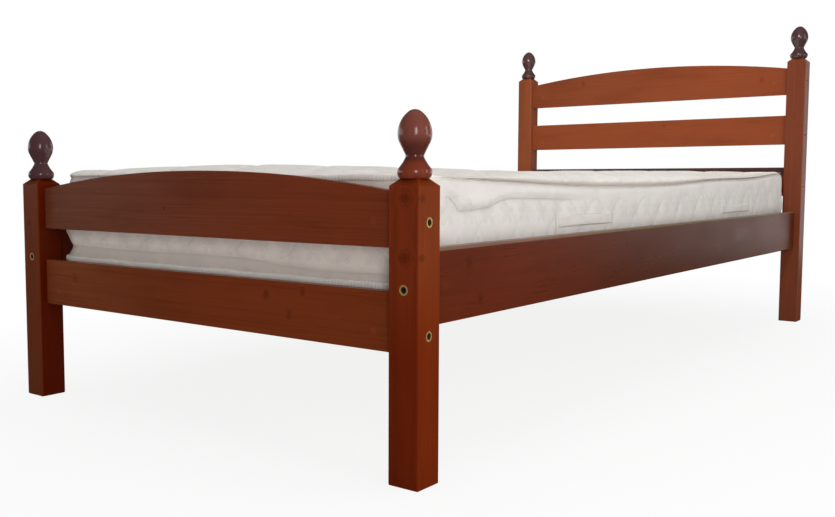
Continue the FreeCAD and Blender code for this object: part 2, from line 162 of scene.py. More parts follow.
# How far beside a board's middle its pith lies, and how far the grain is shifted along it
PITH_REACH = (0.045, 0.085)
GRAIN_SHIFT = (-3, 3)

# Plated metal: roughness of both kinds, and how far painted shade spreads from a corner
BRASS_ROUGHNESS, ZINC_ROUGHNESS = 0.22, 0.3
RECESS_SHADE_REACH = 0.003

# Contrast of the grain under the stain
FOOT_POST_GRAIN, HEAD_POST_GRAIN = 1.0, 0.6
FOOT_RAIL_GRAIN, HEAD_RAIL_GRAIN, SIDE_RAIL_GRAIN = 0.8, 0.5, 0.8
FINIAL_GRAIN = 0.5


# Settings that the user can change

def colour_setting(name, description, *screen):
    """A colour, with its default as screen values."""
    return bpy.props.FloatVectorProperty(
        name=name, description=description, subtype="COLOR", min=0, max=1, default=srgb(*screen))


def length_setting(name, description, default, low, high):
    """A length in metres."""
    return bpy.props.FloatProperty(
        name=name, description=description, subtype="DISTANCE", unit="LENGTH", min=low, max=high,
        default=default)


def angle_setting(name, description, default):
    """An angle in radians."""
    return bpy.props.FloatProperty(
        name=name, description=description, subtype="ANGLE", unit="ROTATION", default=default)


def share_setting(name, description, default):
    """A share from 0 to 1."""
    return bpy.props.FloatProperty(
        name=name, description=description, subtype="FACTOR", min=0, max=1, default=default)


def lamp_setting(name, description, default):
    """The power of a lamp in watts."""
    return bpy.props.FloatProperty(
        name=name, description=description, subtype="POWER", unit="POWER", min=0, default=default)


class BedWood(bpy.types.PropertyGroup):
    """Colours and grain of the wooden pieces and the plating of the bolts."""

    post_stain: colour_setting("Post Stain", "Stain of the foot posts", 126, 48, 17)
    rail_stain: colour_setting("Rail Stain", "Stain of the foot rails", 127, 58, 30)
    side_stain: colour_setting("Side Stain", "Stain of the side rails", 104, 43, 21)
    headboard_stain: colour_setting("Headboard Stain", "Stain of the head rails and posts", 142, 71, 41)
    finial_stain: colour_setting("Finial Stain", "Dark stain of the turned finials", 90, 54, 58)
    warm_finial_stain: colour_setting(
        "Warm Finial Stain", "Redder stain of the finial at the foot on the right", 120, 54, 36)
    bare_pine: colour_setting("Bare Pine", "Unfinished wood of slats, ledgers and dowels", 214, 178, 128)
    brass: colour_setting("Brass", "Plating of the bed bolts", 236, 200, 126)
    ring_width: length_setting("Ring Width", "Distance between growth rings", 0.0042, 0.001, 0.02)
    edge_rub: share_setting("Edge Rub", "How far the stain is sanded through along edges", 0.25)


class BedStage(bpy.types.PropertyGroup):
    """Camera, lamps, floor and background."""

    camera_place: bpy.props.FloatVectorProperty(
        name="Camera Place", description="Where the camera stands", subtype="TRANSLATION", unit="LENGTH",
        default=(1.2305, -2.0918, 0.4387))
    camera_turn: angle_setting("Camera Turn", "Turn of the camera to the left of the bed's length", 0.6771)
    camera_dip: angle_setting("Camera Dip", "How far the camera looks down", 0.0776)
    camera_lens: bpy.props.FloatProperty(
        name="Lens", description="Focal length in millimetres", subtype="DISTANCE_CAMERA", unit="CAMERA",
        min=10, max=200, default=40.19)
    frame_shift: bpy.props.FloatVectorProperty(
        name="Frame Shift", description="Shift of the picture's frame, in frame widths", size=2,
        default=(0.0696, -0.0071))
    window_power: lamp_setting("Window Lamp", "Watts of the window behind the camera", 28.0)
    far_window_power: lamp_setting("Far Window Lamp", "Watts of the window beyond the bed", 8.0)
    side_power: lamp_setting("Side Lamp", "Watts of the soft lamp beside the foot of the bed", 10.5)
    head_power: lamp_setting("Headboard Lamp", "Watts of the lamp that falls on the headboard", 322.0)
    ceiling_power: lamp_setting("Ceiling Lamp", "Watts of the soft lamp overhead", 41.0)
    room_light: bpy.props.FloatProperty(
        name="Room Light", description="Even light from all round", min=0, max=2, default=0.30)
    floor_colour: colour_setting("Floor", "Colour of the plain floor", 236, 236, 235)


# Shader nodes

NUMBER, VECTOR, COLOUR = "NodeSocketFloat", "NodeSocketVector", "NodeSocketColor"


class Nodes:
    """A node tree being written: each call adds a node, feeds its sockets and returns one of its outputs."""

    def __init__(self, tree):
        self.tree = tree

    def add(self, kind, feeds=(), output=0, **settings):
        node = self.tree.nodes.new(kind)
        for name, value in settings.items():
            setattr(node, name, value)
        self.wire(node, dict(feeds))
        return node if output is None else node.outputs[output]

    def wire(self, node, feeds):
        """Feeds several inputs of a node, each with a constant or with another node's output."""
        for key, value in feeds.items():
            self.feed(node.inputs[key], value)

    def feed(self, socket, value):
        if isinstance(value, bpy.types.NodeSocket):
            self.tree.links.new(value, socket)
        elif value is not None:
            socket.default_value = value

    def math(self, operation, a, b=None, c=None, clamp=False):
        return self.add("ShaderNodeMath", {0: a, 1: b, 2: c}, operation=operation, use_clamp=clamp)

    def times(self, a, b):
        return self.math("MULTIPLY", a, b)

    def times_plus(self, a, b, c):
        """The product of a and b, with c added."""
        return self.math("MULTIPLY_ADD", a, b, c)

    def minus(self, a, b):
        return self.math("SUBTRACT", a, b)

    def absolute(self, a):
        return self.math("ABSOLUTE", a)

    def hypot(self, a, b):
        return self.math("SQRT", self.math("ADD", self.times(a, a), self.times(b, b)))

    def vector(self, operation, a, b=None, output=0):
        return self.add("ShaderNodeVectorMath", {0: a, 1: b}, output, operation=operation)

    def scaled(self, vector, scales):
        return self.vector("MULTIPLY", vector, scales)

    def split(self, vector):
        node = self.add("ShaderNodeSeparateXYZ", {0: vector}, None)
        return node.outputs[0], node.outputs[1], node.outputs[2]

    def noise(self, vector, scales, detail=2.0, roughness=0.5, distortion=0.0):
        """Noise with a scale of its own along each axis of a vector."""
        return self.add("ShaderNodeTexNoise", {
            "Vector": self.scaled(vector, scales), "Scale": 1.0, "Detail": detail, "Roughness": roughness,
            "Distortion": distortion})

    def ramp(self, value, low, high, to_low=0.0, to_high=1.0):
        """A smooth step from to_low at low to to_high at high."""
        feeds = {"Value": value, "From Min": low, "From Max": high, "To Min": to_low, "To Max": to_high}
        return self.add("ShaderNodeMapRange", feeds, interpolation_type="SMOOTHSTEP")

    def near_faces(self, distance, inside=False):
        """How free a point is, from 0 to 1, of the piece's other faces within a distance."""
        return self.add("ShaderNodeAmbientOcclusion", {"Distance": distance}, output=1, inside=inside,
                        only_local=True, samples=8)

    def between(self, share, a, b):
        """A number that goes from a to b with the share."""
        return self.add("ShaderNodeMix", {0: share, 2: a, 3: b})

    def mix(self, share, a, b, blend="MIX"):
        return self.add("ShaderNodeMix", {0: share, 6: a, 7: b}, 2, data_type="RGBA", blend_type=blend)

    def group(self, tree, feeds):
        return self.add("ShaderNodeGroup", feeds, None, node_tree=tree).outputs


def node_group(name, inputs, outputs, kind=NUMBER):
    """An empty shader group: its tree, its nodes, its inputs and its output node.

    An input is given with its default if it is a number, or else with its kind. All outputs are of one kind.
    """
    tree = bpy.data.node_groups.new(name, "ShaderNodeTree")
    for label, given in inputs.items():
        if isinstance(given, str):
            tree.interface.new_socket(label, in_out="INPUT", socket_type=given)
        else:
            tree.interface.new_socket(label, in_out="INPUT", socket_type=NUMBER).default_value = given
    for label in outputs:
        tree.interface.new_socket(label, in_out="OUTPUT", socket_type=kind)
    source = tree.nodes.new("NodeGroupInput").outputs
    target = tree.nodes.new("NodeGroupOutput")
    return tree, Nodes(tree), source, target


def shared(maker):
    """The node group that a maker builds, built on its first use only."""
    name = maker.__name__
    return bpy.data.node_groups.get(name) or maker(name)


def pine_figure(name):
    """Growth rings cut by the board's face, and fine fibre along it. The vector's Z runs along the grain."""
    inputs = {"Vector": VECTOR, "Ring Width": 0.004, "Push": 0.0}
    tree, n, source, target = node_group(name, inputs, ("Figure", "Fibre", "Mottle"))
    vector = source["Vector"]
    x, y = n.split(vector)[:2]
    sway = n.minus(n.noise(vector, (6, 6, 1.6), detail=1.0), 0.5)
    side = n.times_plus(sway, 0.022, x)
    radius = n.hypot(side, y)
    year = n.math("DIVIDE", n.math("ADD", radius, source["Push"]), source["Ring Width"])
    band = n.math("FRACT", n.times_plus(n.noise(vector, (90, 90, 1.2), detail=1.0), 1.6, year))
    late = n.times(n.math("POWER", band, 2.2), n.ramp(band, 0.86, 1.0, 1.0, 0.0))
    n.wire(target, {
        "Figure": n.math("MULTIPLY", late, 1.35, clamp=True),
        "Fibre": n.noise(vector, (850, 850, 9), detail=3.0, roughness=0.6),
        "Mottle": n.noise(vector, (16, 16, 3.5), detail=3.0, roughness=0.55),
    })
    return tree


def pine_knot(name):
    """One knot: a dark core with a rim, and the push that bends the rings round it."""
    inputs = {"Vector": VECTOR, "Centre": VECTOR, "Radius": 0.008}
    tree, n, source, target = node_group(name, inputs, ("Core", "Rim", "Push"))
    away = n.vector("SUBTRACT", source["Vector"], source["Centre"])
    length = n.vector("LENGTH", n.scaled(away, (1.0, 1.0, 1.35)), output=1)
    ragged = n.times_plus(n.noise(away, (160, 160, 160), detail=1.0), 0.5, -0.25)
    reach = n.math("ADD", n.math("DIVIDE", length, source["Radius"]), ragged)
    swell = n.math("EXPONENT", n.times(n.times(reach, reach), -0.22))
    n.wire(target, {
        "Core": n.ramp(reach, 0.45, 1.05, 1.0, 0.0),
        "Rim": n.times(n.ramp(reach, 0.7, 1.0), n.ramp(reach, 1.0, 1.45, 1.0, 0.0)),
        "Push": n.times(swell, n.times(source["Radius"], -0.5)),
    })
    return tree


def edge_rub(name):
    """A mask along outward edges, found by looking a short way into the solid."""
    tree, n, source, target = node_group(name, {"Width": 0.005}, ("Mask",))
    inside = n.near_faces(source["Width"], inside=True)
    n.wire(target, {"Mask": n.ramp(inside, 0.45, 0.95, 1.0, 0.0)})
    return tree


def stain_coat(name):
    """Stain soaked unevenly into pine: darker in the rings and knots, paler on rubbed edges."""
    inputs = {"Stain": COLOUR, "Figure": 0.0, "Fibre": 0.5, "Mottle": 0.5, "Core": 0.0, "Rim": 0.0,
              "Edge": 0.0, "Contrast": 1.0}
    tree, n, source, target = node_group(name, inputs, ("Color",), COLOUR)
    stain, fibre, strength = source["Stain"], source["Fibre"], source["Contrast"]
    deep = n.mix(1.0, stain, (0.52, 0.44, 0.38, 1), "MULTIPLY")
    pale = n.mix(1.0, stain, (1.55, 1.75, 1.9, 1), "MULTIPLY")
    burnt = n.mix(1.0, stain, (0.33, 0.26, 0.22, 1), "MULTIPLY")
    rings = n.mix(n.times(source["Figure"], n.times(strength, 0.36)), stain, deep)
    blotch = n.mix(n.ramp(source["Mottle"], 0.42, 0.72, 0.0, 0.32), rings, deep)
    streak = n.mix(n.times(n.ramp(fibre, 0.52, 0.75, 0.0, 0.30), strength), blotch, pale)
    fleck = n.mix(n.times(n.ramp(fibre, 0.30, 0.44, 0.38, 0.0), strength), streak, deep)
    knots = n.mix(n.times(source["Core"], n.times(strength, 0.80)), fleck, deep)
    rims = n.mix(n.times(source["Rim"], n.times(strength, 0.5)), knots, burnt)
    n.wire(target, {"Color": n.mix(source["Edge"], rims, pale)})
    return tree


def lacquer_skin(name):
    """Roughness and fine relief of a brushed satin lacquer over open grain."""
    inputs = {"Vector": VECTOR, "Fibre": 0.5, "Sheen": 0.3}
    tree, n, source, target = node_group(name, inputs, ("Roughness", "Height"))
    cloudy = n.noise(source["Vector"], (22, 22, 7), detail=3.0)
    peel = n.noise(source["Vector"], (420, 420, 260), detail=1.0)
    worn = n.times_plus(cloudy, 0.16, source["Sheen"])
    n.wire(target, {
        "Roughness": n.times_plus(source["Fibre"], 0.08, worn),
        "Height": n.times_plus(source["Fibre"], 0.7, n.times(peel, 0.3)),
    })
    return tree


def new_material(name):
    """A material with only its Principled shader, and the nodes to feed it."""
    material = bpy.data.materials.new(name)
    material.use_nodes = True
    nodes = Nodes(material.node_tree)
    return material, nodes, material.node_tree.nodes["Principled BSDF"]


def object_place(nodes):
    return nodes.add("ShaderNodeTexCoord", (), "Object")


def bump(nodes, height, strength, depth):
    return nodes.add("ShaderNodeBump", {"Height": height, "Strength": strength, "Distance": depth})


def grain_space(nodes, turn, centre):
    """The object's coordinates seen from the board's pith, with Z along the grain."""
    feeds = {"Vector": object_place(nodes), "Location": centre, "Rotation": turn}
    return nodes.add("ShaderNodeMapping", feeds, vector_type="TEXTURE")


def pith_of(node, turn):
    """A board's pith: beside its middle, a different way for each board."""
    low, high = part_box(node)
    rng = random.Random(node)
    angle = rng.uniform(0, 2 * math.pi)
    reach = rng.uniform(*PITH_REACH)
    across = Vector((math.cos(angle) * reach, math.sin(angle) * reach, rng.uniform(*GRAIN_SHIFT)))
    return (low + high) / 2 + Euler(turn).to_matrix() @ across


def toned_and_shaded(nodes, node, colour):
    """A stain's colour, turned by its tone splits: painted light and shade, and in part uneven stain."""
    low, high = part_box(node)
    for way, start, end, first, second in TONE_AND_LIGHT_SPLITS.get(node, ()):
        spans = tuple(way[i] / (high[i] - low[i]) for i in range(3))
        from_corner = nodes.vector("SUBTRACT", object_place(nodes), low)
        reach = nodes.vector("DOT_PRODUCT", from_corner, spans, output=1)
        tone = nodes.mix(nodes.ramp(reach, start, end), opaque(first), opaque(second))
        colour = nodes.mix(1.0, colour, tone, "MULTIPLY")
    return colour


def wood_material(name, node, axis, stain, wood, gloss, sheen, contrast=1.0, polish=0.0):
    """Pine with the grain along one axis and the node's own knots, under satin or polished lacquer."""
    material, n, shader = new_material(name)
    turn = GRAIN_TURN[axis]
    pith = pith_of(node, turn)
    vector = grain_space(n, turn, pith)
    low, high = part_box(node)
    core, rim, push = 0.0, 0.0, 0.0
    for shares, radius in KNOT_SHARES.get(node, ()):
        place = Vector(low[i] + (high[i] - low[i]) * shares[i] for i in range(3))
        local = Euler(turn).to_matrix().transposed() @ (place - pith)
        knot = n.group(shared(pine_knot), {"Vector": vector, "Centre": local, "Radius": radius})
        core = n.math("MAXIMUM", knot["Core"], core)
        rim = n.math("MAXIMUM", knot["Rim"], rim)
        push = n.math("ADD", knot["Push"], push)
    figure = n.group(shared(pine_figure), {"Vector": vector, "Ring Width": wood.ring_width, "Push": push})
    edge = n.times(n.group(shared(edge_rub), {})["Mask"], wood.edge_rub)
    coat = n.group(shared(stain_coat), {
        "Stain": toned_and_shaded(n, node, opaque(stain)), "Figure": figure["Figure"], "Fibre": figure["Fibre"],
        "Mottle": figure["Mottle"], "Core": core, "Rim": rim, "Edge": edge, "Contrast": contrast})
    skin = n.group(shared(lacquer_skin), {"Vector": vector, "Fibre": figure["Fibre"], "Sheen": sheen})
    n.wire(shader, {
        "Base Color": coat["Color"], "Roughness": skin["Roughness"],
        "Normal": bump(n, skin["Height"], 0.12, GRAIN_RELIEF), "Specular IOR Level": gloss,
        "Coat Weight": polish, "Coat Roughness": POLISH_ROUGHNESS})
    return material


def finish(node, material):
    """Gives a frame node a finish in place of the plain one that it was packed with."""
    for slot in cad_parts[node].material_slots:
        slot.material = material


def coat_boards(prefix, boards, axis, stain, wood, **coat):
    """Finishes boards of one kind, each with knots and a pith of its own."""
    for node in boards:
        finish(node, wood_material(f"{prefix}_{node}", node, axis, stain, wood, **coat))


class BED_OT_posts(bpy.types.Operator):
    """Stain and lacquer the four posts"""

    bl_idname = "bed.posts"
    bl_label = "Posts"

    def execute(self, context):
        wood = context.scene.bed_wood
        for boards, stain, grain in ((FOOT_POSTS, wood.post_stain, FOOT_POST_GRAIN),
                                     (HEAD_POSTS, wood.headboard_stain, HEAD_POST_GRAIN)):
            coat_boards("stained", boards, "Z", stain, wood, contrast=grain, **SATIN)
        return {"FINISHED"}


class BED_OT_rails(bpy.types.Operator):
    """Stain and lacquer the rails of both ends and the side rails"""

    bl_idname = "bed.rails"
    bl_label = "Rails"

    def execute(self, context):
        wood = context.scene.bed_wood
        for boards, axis, stain, grain in ((FOOT_RAILS, "X", wood.rail_stain, FOOT_RAIL_GRAIN),
                                           (HEAD_RAILS, "X", wood.headboard_stain, HEAD_RAIL_GRAIN),
                                           (SIDE_RAILS, "Y", wood.side_stain, SIDE_RAIL_GRAIN)):
            coat_boards("stained", boards, axis, stain, wood, contrast=grain, **SATIN)
        return {"FINISHED"}


class BED_OT_finials(bpy.types.Operator):
    """Stain and lacquer the turned finials"""

    bl_idname = "bed.finials"
    bl_label = "Finials"

    def execute(self, context):
        wood = context.scene.bed_wood
        for node in FINIALS:
            stain = wood.warm_finial_stain if node == "finial_foot_right" else wood.finial_stain
            coat_boards("stained", (node,), "Z", stain, wood, contrast=FINIAL_GRAIN, **POLISHED)
        return {"FINISHED"}


class BED_OT_deck(bpy.types.Operator):
    """Leave the slats, ledgers and dowels in bare pine"""

    bl_idname = "bed.deck"
    bl_label = "Deck"

    def execute(self, context):
        wood = context.scene.bed_wood
        for boards, axis in ((SLATS, "X"), (LEDGERS, "Y"), (DOWELS, "Y")):
            coat_boards("bare", boards, axis, wood.bare_pine, wood, **UNFINISHED)
        return {"FINISHED"}


def metal_material(name, colour, roughness, heads=None):
    """Plated metal with fine turning marks, a dull patch here and there, and painted shade in its corners.

    Heads give the axis of a row of bolts and how far out their faces lie, for the painted shade in their
    wells.
    """
    material, n, shader = new_material(name)
    place = object_place(n)
    marks = n.noise(place, (2600, 2600, 2600))
    dull = n.noise(place, (140, 140, 140))
    tarnish = n.mix(n.ramp(dull, 0.45, 0.75, 0.0, 0.55), opaque(colour), darker(colour, 0.45))
    # Painted shade in corners, and deeper painted shade in the wells of bolt heads
    sunk = n.near_faces(RECESS_SHADE_REACH)
    recess_shade = n.mix(n.ramp(sunk, 0.45, 0.9, 0.75, 0.0), tarnish, darker(colour, 0.12))
    if heads is not None:
        axis, face = heads
        depth = n.minus(face, n.absolute(n.split(place)[axis]))
        recess_shade = n.mix(n.ramp(depth, 0.0004, 0.0012), recess_shade, darker(colour, 0.07))
    n.wire(shader, {
        "Base Color": recess_shade, "Roughness": n.times_plus(dull, 0.25, roughness),
        "Normal": bump(n, marks, 0.15, 0.0002), "Metallic": 0.6})
    return material


class BED_OT_fittings(bpy.types.Operator):
    """Plate the bed bolts with brass and the hidden nuts and screws with zinc"""

    bl_idname = "bed.fittings"
    bl_label = "Fittings"

    zinc: colour_setting("Zinc", "Plating of nuts and screws", 186, 188, 190)

    def execute(self, context):
        brass = context.scene.bed_wood.brass
        for node, axis in BOLT_AXES.items():
            heads = (axis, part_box(node)[1][axis])
            finish(node, metal_material(f"brass_{node}", brass, BRASS_ROUGHNESS, heads))
        zinc = metal_material("zinc_plate", self.zinc, ZINC_ROUGHNESS)
        for node in STEEL:
            finish(node, zinc)
        return {"FINISHED"}


# Mattress

MATTRESS_LOW, MATTRESS_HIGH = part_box("mattress")
HALF_WIDTH, HALF_LENGTH = MATTRESS_HIGH.x, MATTRESS_HIGH.y
SOLE, CROWN = MATTRESS_LOW.z, MATTRESS_HIGH.z
SEAM_BOTTOM = sum(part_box("mattress_bottom_tape"), Vector()).z / 2
SEAM_TOP = sum(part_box("mattress_top_tape"), Vector()).z / 2
SEAM_MIDDLE = (SEAM_BOTTOM + SEAM_TOP) / 2
TOP, BORDER, UNDERSIDE = 0, 1, 2

# Section of the cover: the roll over the top seam, the border and the under edge, in metres and mesh rows
ROLL_REACH = 0.034
ROLL_INSET = 0.002
SLACK_TURN, TIGHT_TURN = math.radians(112), math.radians(150)
DOME_RISE = 0.008
DOME_REACH = 0.240
BORDER_INSET = 0.0025
LEDGE_DROP = 0.014
CORNER_TUCK = 0.008
BOTTOM_SEAM_INSET = 0.005
PANEL_CELLS = (54, 122)
ROLL_ROWS, LEDGE_ROWS, FACE_ROWS, UNDER_ROWS = 9, 4, 10, 3
BORDER_ROWS = LEDGE_ROWS + FACE_ROWS
WALL_ROWS = ROLL_ROWS + BORDER_ROWS + UNDER_ROWS

# Bulges down each corner: height, spread and how far out
CORNER_BULGES = ((0.345, 0.026, 0.0075), (0.306, 0.015, -0.0075), (0.281, 0.010, 0.0070))

# Tilt of the top to the right, and its mounds and hollows: height, then middle and reach in X and in Y
TOP_TILT = 0.003
MOUNDS = ((-0.006, 0.44, 0.16, -0.97, 0.20), (0.006, -0.12, 0.25, -0.82, 0.22),
          (-0.0056, 0.22, 0.20, 0.0, 0.45))

# Tightness of the roll at the foot end, and the places in Y from where to where it tightens
FOOT_TIGHTNESS = 0.15
TIGHTENING = (-0.97, -0.74)

# Places from where to where the top seam takes part in a side's sag, in X, and in the head's rise, in Y
SAG_START = (0.25, 0.44)
HEAD_START = (0.55, 1.0)

# Sags of the top seam: side, middle along it, reaches towards the foot and the head, and share of the sag
SEAM_SAGS = ((1, -0.2, 0.5, 0.44, 1.0), (-1, 0.15, 0.45, 0.45, 0.6))

# Creases of the loose border: places along the right side and across the foot end, with their heights
SIDE_FOLD = ((-0.900, 0.414), (-0.889, 0.408), (-0.874, 0.3916), (-0.83, 0.3925), (-0.781, 0.395),
             (-0.747, 0.4045), (-0.7175, 0.4085), (-0.62, 0.4075), (-0.53, 0.4041), (-0.417, 0.404),
             (-0.34, 0.402))
FOOT_FOLD = ((-0.42, 0.3080), (-0.267, 0.3072), (-0.198, 0.3054), (0.0, 0.3088), (0.105, 0.3078),
             (0.178, 0.3014), (0.264, 0.2955), (0.364, 0.2985), (0.43, 0.2990))
FOLD_DEPTH = 0.0055
FOOT_FOLD_SHARE = 0.7

# Where the border hangs loose: the foot half of the right side, and the foot end between its corners
SIDE_X, SIDE_FOOT_Y, FOOT_END_Y = 0.4, -0.93, -0.95
LOOSE_FROM, LOOSE_UNTIL = (-0.925, -0.885), (-0.60, -0.38)
LOOSE_FOOT = (0.44, 0.38)

# Section of a crease: height and spread of the lip above it and of the hollow under it
LIP, HOLLOW = (0.010, 0.009), (-0.003, 0.006)

# Depth of the top seam's shade at the foot end, and the places in Y from where to where it deepens
FOOT_SEAM_SHADE = 0.55
SEAM_DEEPENING = (-0.98, -0.60)

# Swelling of the cover, by a short run of cloth that its stitches and seams hold within these distances
CLOTH_FRAMES = 20
CLOTH_SETTINGS = {
    "quality": 4, "mass": 0.02, "tension_stiffness": 8, "compression_stiffness": 8, "shear_stiffness": 3,
    "bending_stiffness": 0.05, "shrink_min": -0.035, "use_pressure": True, "uniform_pressure_force": 4}
BORDER_SWELL_SHARE = 0.5
STITCH_HOLD, SEAM_HOLD = (0.002, 0.011), (0.004, 0.016)
LEAST_HOLD = 0.02

# Quilting: how far its lines swing, and how deep and wide the stitches draw the cover in
LEAF_SWING_SHARE = 0.44
BORDER_STITCH_SHARE = 0.30
STITCH_REACH = 0.006
GATHER_DEPTH, GATHER_REACH = 0.0009, 0.022
QUILT_STITCH, WEBBING_STITCH = 0.0045, 0.0035

# Cloth: its threads and woven leaves, where the border is joined, and its looks: the top's tint, partly
# painted light, the painted warm bounce light on the foot end, and the colour of the painted seam shade
THREAD_PITCH = 0.0011
MOTIF_SIZE = 0.06
BORDER_JOINT = 0.388
CLOTH_GLOSS = 0.2
TOP_LIGHT_AND_WARMTH = (1.03, 1.03, 1.01)
FOOT_BOUNCE_TINT = (1.11, 1.05, 1.01)
SEAM_SHADE_TONE = (0.60, 0.46, 0.44)

# Bindings: half of the tape's section, its ribs, and how far it stands out from each seam
TAPE_DEPTH, TAPE_HEIGHT = 0.0032, 0.0058
RIB_DEPTH, RIB_HEIGHT = 0.0007, 0.0004
RIB_PITCH = 0.0065
RIB_STEPS = 4
TAPE_SIDES = 10
TAPE_WANDER = 0.0007
SLIM_SHARE = 0.35
TOP_TAPE_OUT, BROAD_TAPE_OUT, BOTTOM_TAPE_OUT = 0.0002, 0.0016, 0.0026
BOTTOM_TAPE_DROP = 0.0045

# Where the tape puckers, near a corner and at the foot end in Y, and where it broadens there in X
NEAR_CORNER = (0.16, 0.02)
AT_FOOT_END = (-0.90, -0.97)
BROAD_START = (-0.05, 0.20)

# Handles: cells of the webbing, length of its sewn ends, how far it stands off the cover, and its shape
WEBBING_CELLS = (44, 6)
SEWN_END, FREE_RAMP = 0.034, 0.035
WEBBING_GAP, WEBBING_LIFT = 0.0008, 0.0022
WEBBING_CROWN, WEBBING_WAIST = 0.35, 0.10
WEBBING_RIB = 0.0017
STITCH_BOX = 0.013


class BedMattress(bpy.types.PropertyGroup):
    """Cover, quilting and fill of the mattress."""

    ticking: colour_setting("Ticking", "Cotton cover and webbing of the handles", 236, 231, 225)
    motif: colour_setting("Motif", "Leaves woven into the cover", 214, 207, 203)
    thread: colour_setting("Thread", "Quilting thread", 238, 236, 231)
    tape: colour_setting("Tape", "Binding of the seams", 253, 248, 241)
    corner_radius: length_setting("Corner Radius", "Rounding of the mattress in plan", 0.064, 0.04, 0.2)
    leaf_pitch: length_setting("Leaf Pitch", "Distance between quilting lines on the top", 0.090, 0.03, 0.4)
    leaf_length: length_setting("Leaf Length", "Length of a quilted leaf on the top", 0.260, 0.05, 0.8)
    border_leaf: length_setting("Border Leaf", "Length of a quilted leaf on the border", 0.125, 0.05, 0.8)
    border_leaf_height: length_setting(
        "Border Leaf Height", "Height of a quilted leaf on the border", 0.100, 0.02, 0.3)
    stitch_depth: length_setting("Stitch Depth", "How far the stitches draw the cover in", 0.0022, 0, 0.02)
    swell: length_setting("Swell", "How far the fill may push the cover out", 0.0042, 0, 0.03)
    sag: length_setting("Seam Sag", "Dip of the top seam along the sides", 0.0163, 0, 0.05)
    lift: length_setting("Seam Lift", "Rise of the top seam towards the head", 0.0196, 0, 0.05)
    handle_length: length_setting("Handle Length", "Length of a webbing handle", 0.235, 0.1, 0.5)
    handle_width: length_setting("Handle Width", "Width of the webbing", 0.022, 0.01, 0.08)
    handle_thickness: length_setting("Handle Thickness", "Thickness of the webbing", 0.0010, 0.0005, 0.006)
    handle_place: length_setting(
        "Handle Place", "How far each handle's middle is from the middle of the side", 0.455, 0.1, 0.8)
    handle_shift: length_setting(
        "Handle Shift", "How far both handles of a side stand towards the head", 0.035, -0.3, 0.3)
    fill: share_setting("Fill", "How tightly the cover is filled", 0.75)


def smooth_step(low, high, value):
    """0 before low, 1 after high, and a smooth rise between them."""
    t = np.clip((value - low) / (high - low), 0, 1)
    return t * t * (3 - 2 * t)


class Outline:
    """A rounded rectangle about the middle of the bed, in plan."""

    def __init__(self, half_width, half_length, radius):
        self.radius = radius
        self.straight_x = half_width - radius
        self.straight_y = half_length - radius

    def length(self):
        return 4 * (self.straight_x + self.straight_y) + 2 * math.pi * self.radius

    def past_straights(self, x, y):
        return np.abs(x) - self.straight_x, np.abs(y) - self.straight_y

    def rounded(self, x, y):
        """Points of a rectangular panel, moved so that its square corners become quarter discs."""
        qx, qy = self.past_straights(x, y)
        u = np.clip(qx / self.radius, 0, 1)
        v = np.clip(qy / self.radius, 0, 1)
        corner = (u > 0) & (v > 0)
        in_x = np.sign(x) * (self.straight_x + self.radius * u * np.sqrt(1 - v * v / 2))
        in_y = np.sign(y) * (self.straight_y + self.radius * v * np.sqrt(1 - u * u / 2))
        return np.where(corner, in_x, x), np.where(corner, in_y, y)

    def inset(self, x, y):
        """How far inside the outline a point lies."""
        qx, qy = self.past_straights(x, y)
        outside = np.hypot(np.maximum(qx, 0), np.maximum(qy, 0))
        return self.radius - outside - np.minimum(np.maximum(qx, qy), 0)

    def outward(self, x, y):
        """The way out of the outline at a point near it."""
        qx, qy = self.past_straights(x, y)
        way_x = np.sign(x) * np.maximum(qx, 0)
        way_y = np.sign(y) * np.maximum(qy, 0)
        reach = np.maximum(np.hypot(way_x, way_y), 1e-9)
        return way_x / reach, way_y / reach

    def run(self, x, y):
        """Distance along the outline from the foot of the right side, going round by the head."""
        tests, legs = [], []
        start, across, along = 0, self.straight_x, self.straight_y
        for _ in range(4):
            tests += [(x > 0) & (np.abs(y) <= along), (x > across) & (y > along)]
            corner = self.radius * np.arctan2(y - along, x - across)
            legs += [start + along + y, start + 2 * along + corner]
            start += 2 * along + math.pi / 2 * self.radius
            x, y = y, -x
            across, along = along, across
        return np.select(tests, legs)


def cover_outline(settings):
    return Outline(HALF_WIDTH, HALF_LENGTH, settings.corner_radius)


def panel_outline(settings):
    return Outline(HALF_WIDTH - ROLL_REACH, HALF_LENGTH - ROLL_REACH, settings.corner_radius - ROLL_REACH)


def seam_dip(x, y, settings):
    """How far the top seam stands above its level: it sags along the sides and rises at the head."""
    sag = 0
    for side, middle, to_foot, to_head, share in SEAM_SAGS:
        reach = np.where(y < middle, to_foot, to_head)
        sag = sag + share * np.exp(-(np.abs(y - middle) / reach) ** 3) * smooth_step(*SAG_START, side * x)
    head = smooth_step(*HEAD_START, y) * (0.4 + 0.6 * smooth_step(-0.4, 0.4, x))
    return settings.lift * head - settings.sag * sag


def gap_to_waves(across, along, spacing, swing, length):
    """Distance to the nearest of a row of waved lines."""
    wave = swing * np.sin(2 * math.pi * along / length)
    slope = swing * 2 * math.pi / length * np.cos(2 * math.pi * along / length)
    turn = (across - wave) / spacing
    return np.abs(turn - np.round(turn)) * spacing / np.sqrt(1 + slope * slope)


def top_waves(settings):
    """The top's quilting lines: spacing, swing and length of a wave, and the shift of every second line."""
    pitch = settings.leaf_pitch
    return 2 * pitch, pitch * LEAF_SWING_SHARE, settings.leaf_length, pitch


def border_waves(settings):
    """The same for the border's chain of leaves, with a whole number of waves all round."""
    around = cover_outline(settings).length()
    return 1.0, settings.border_leaf_height / 2, around / round(around / (2 * settings.border_leaf)), 0.0


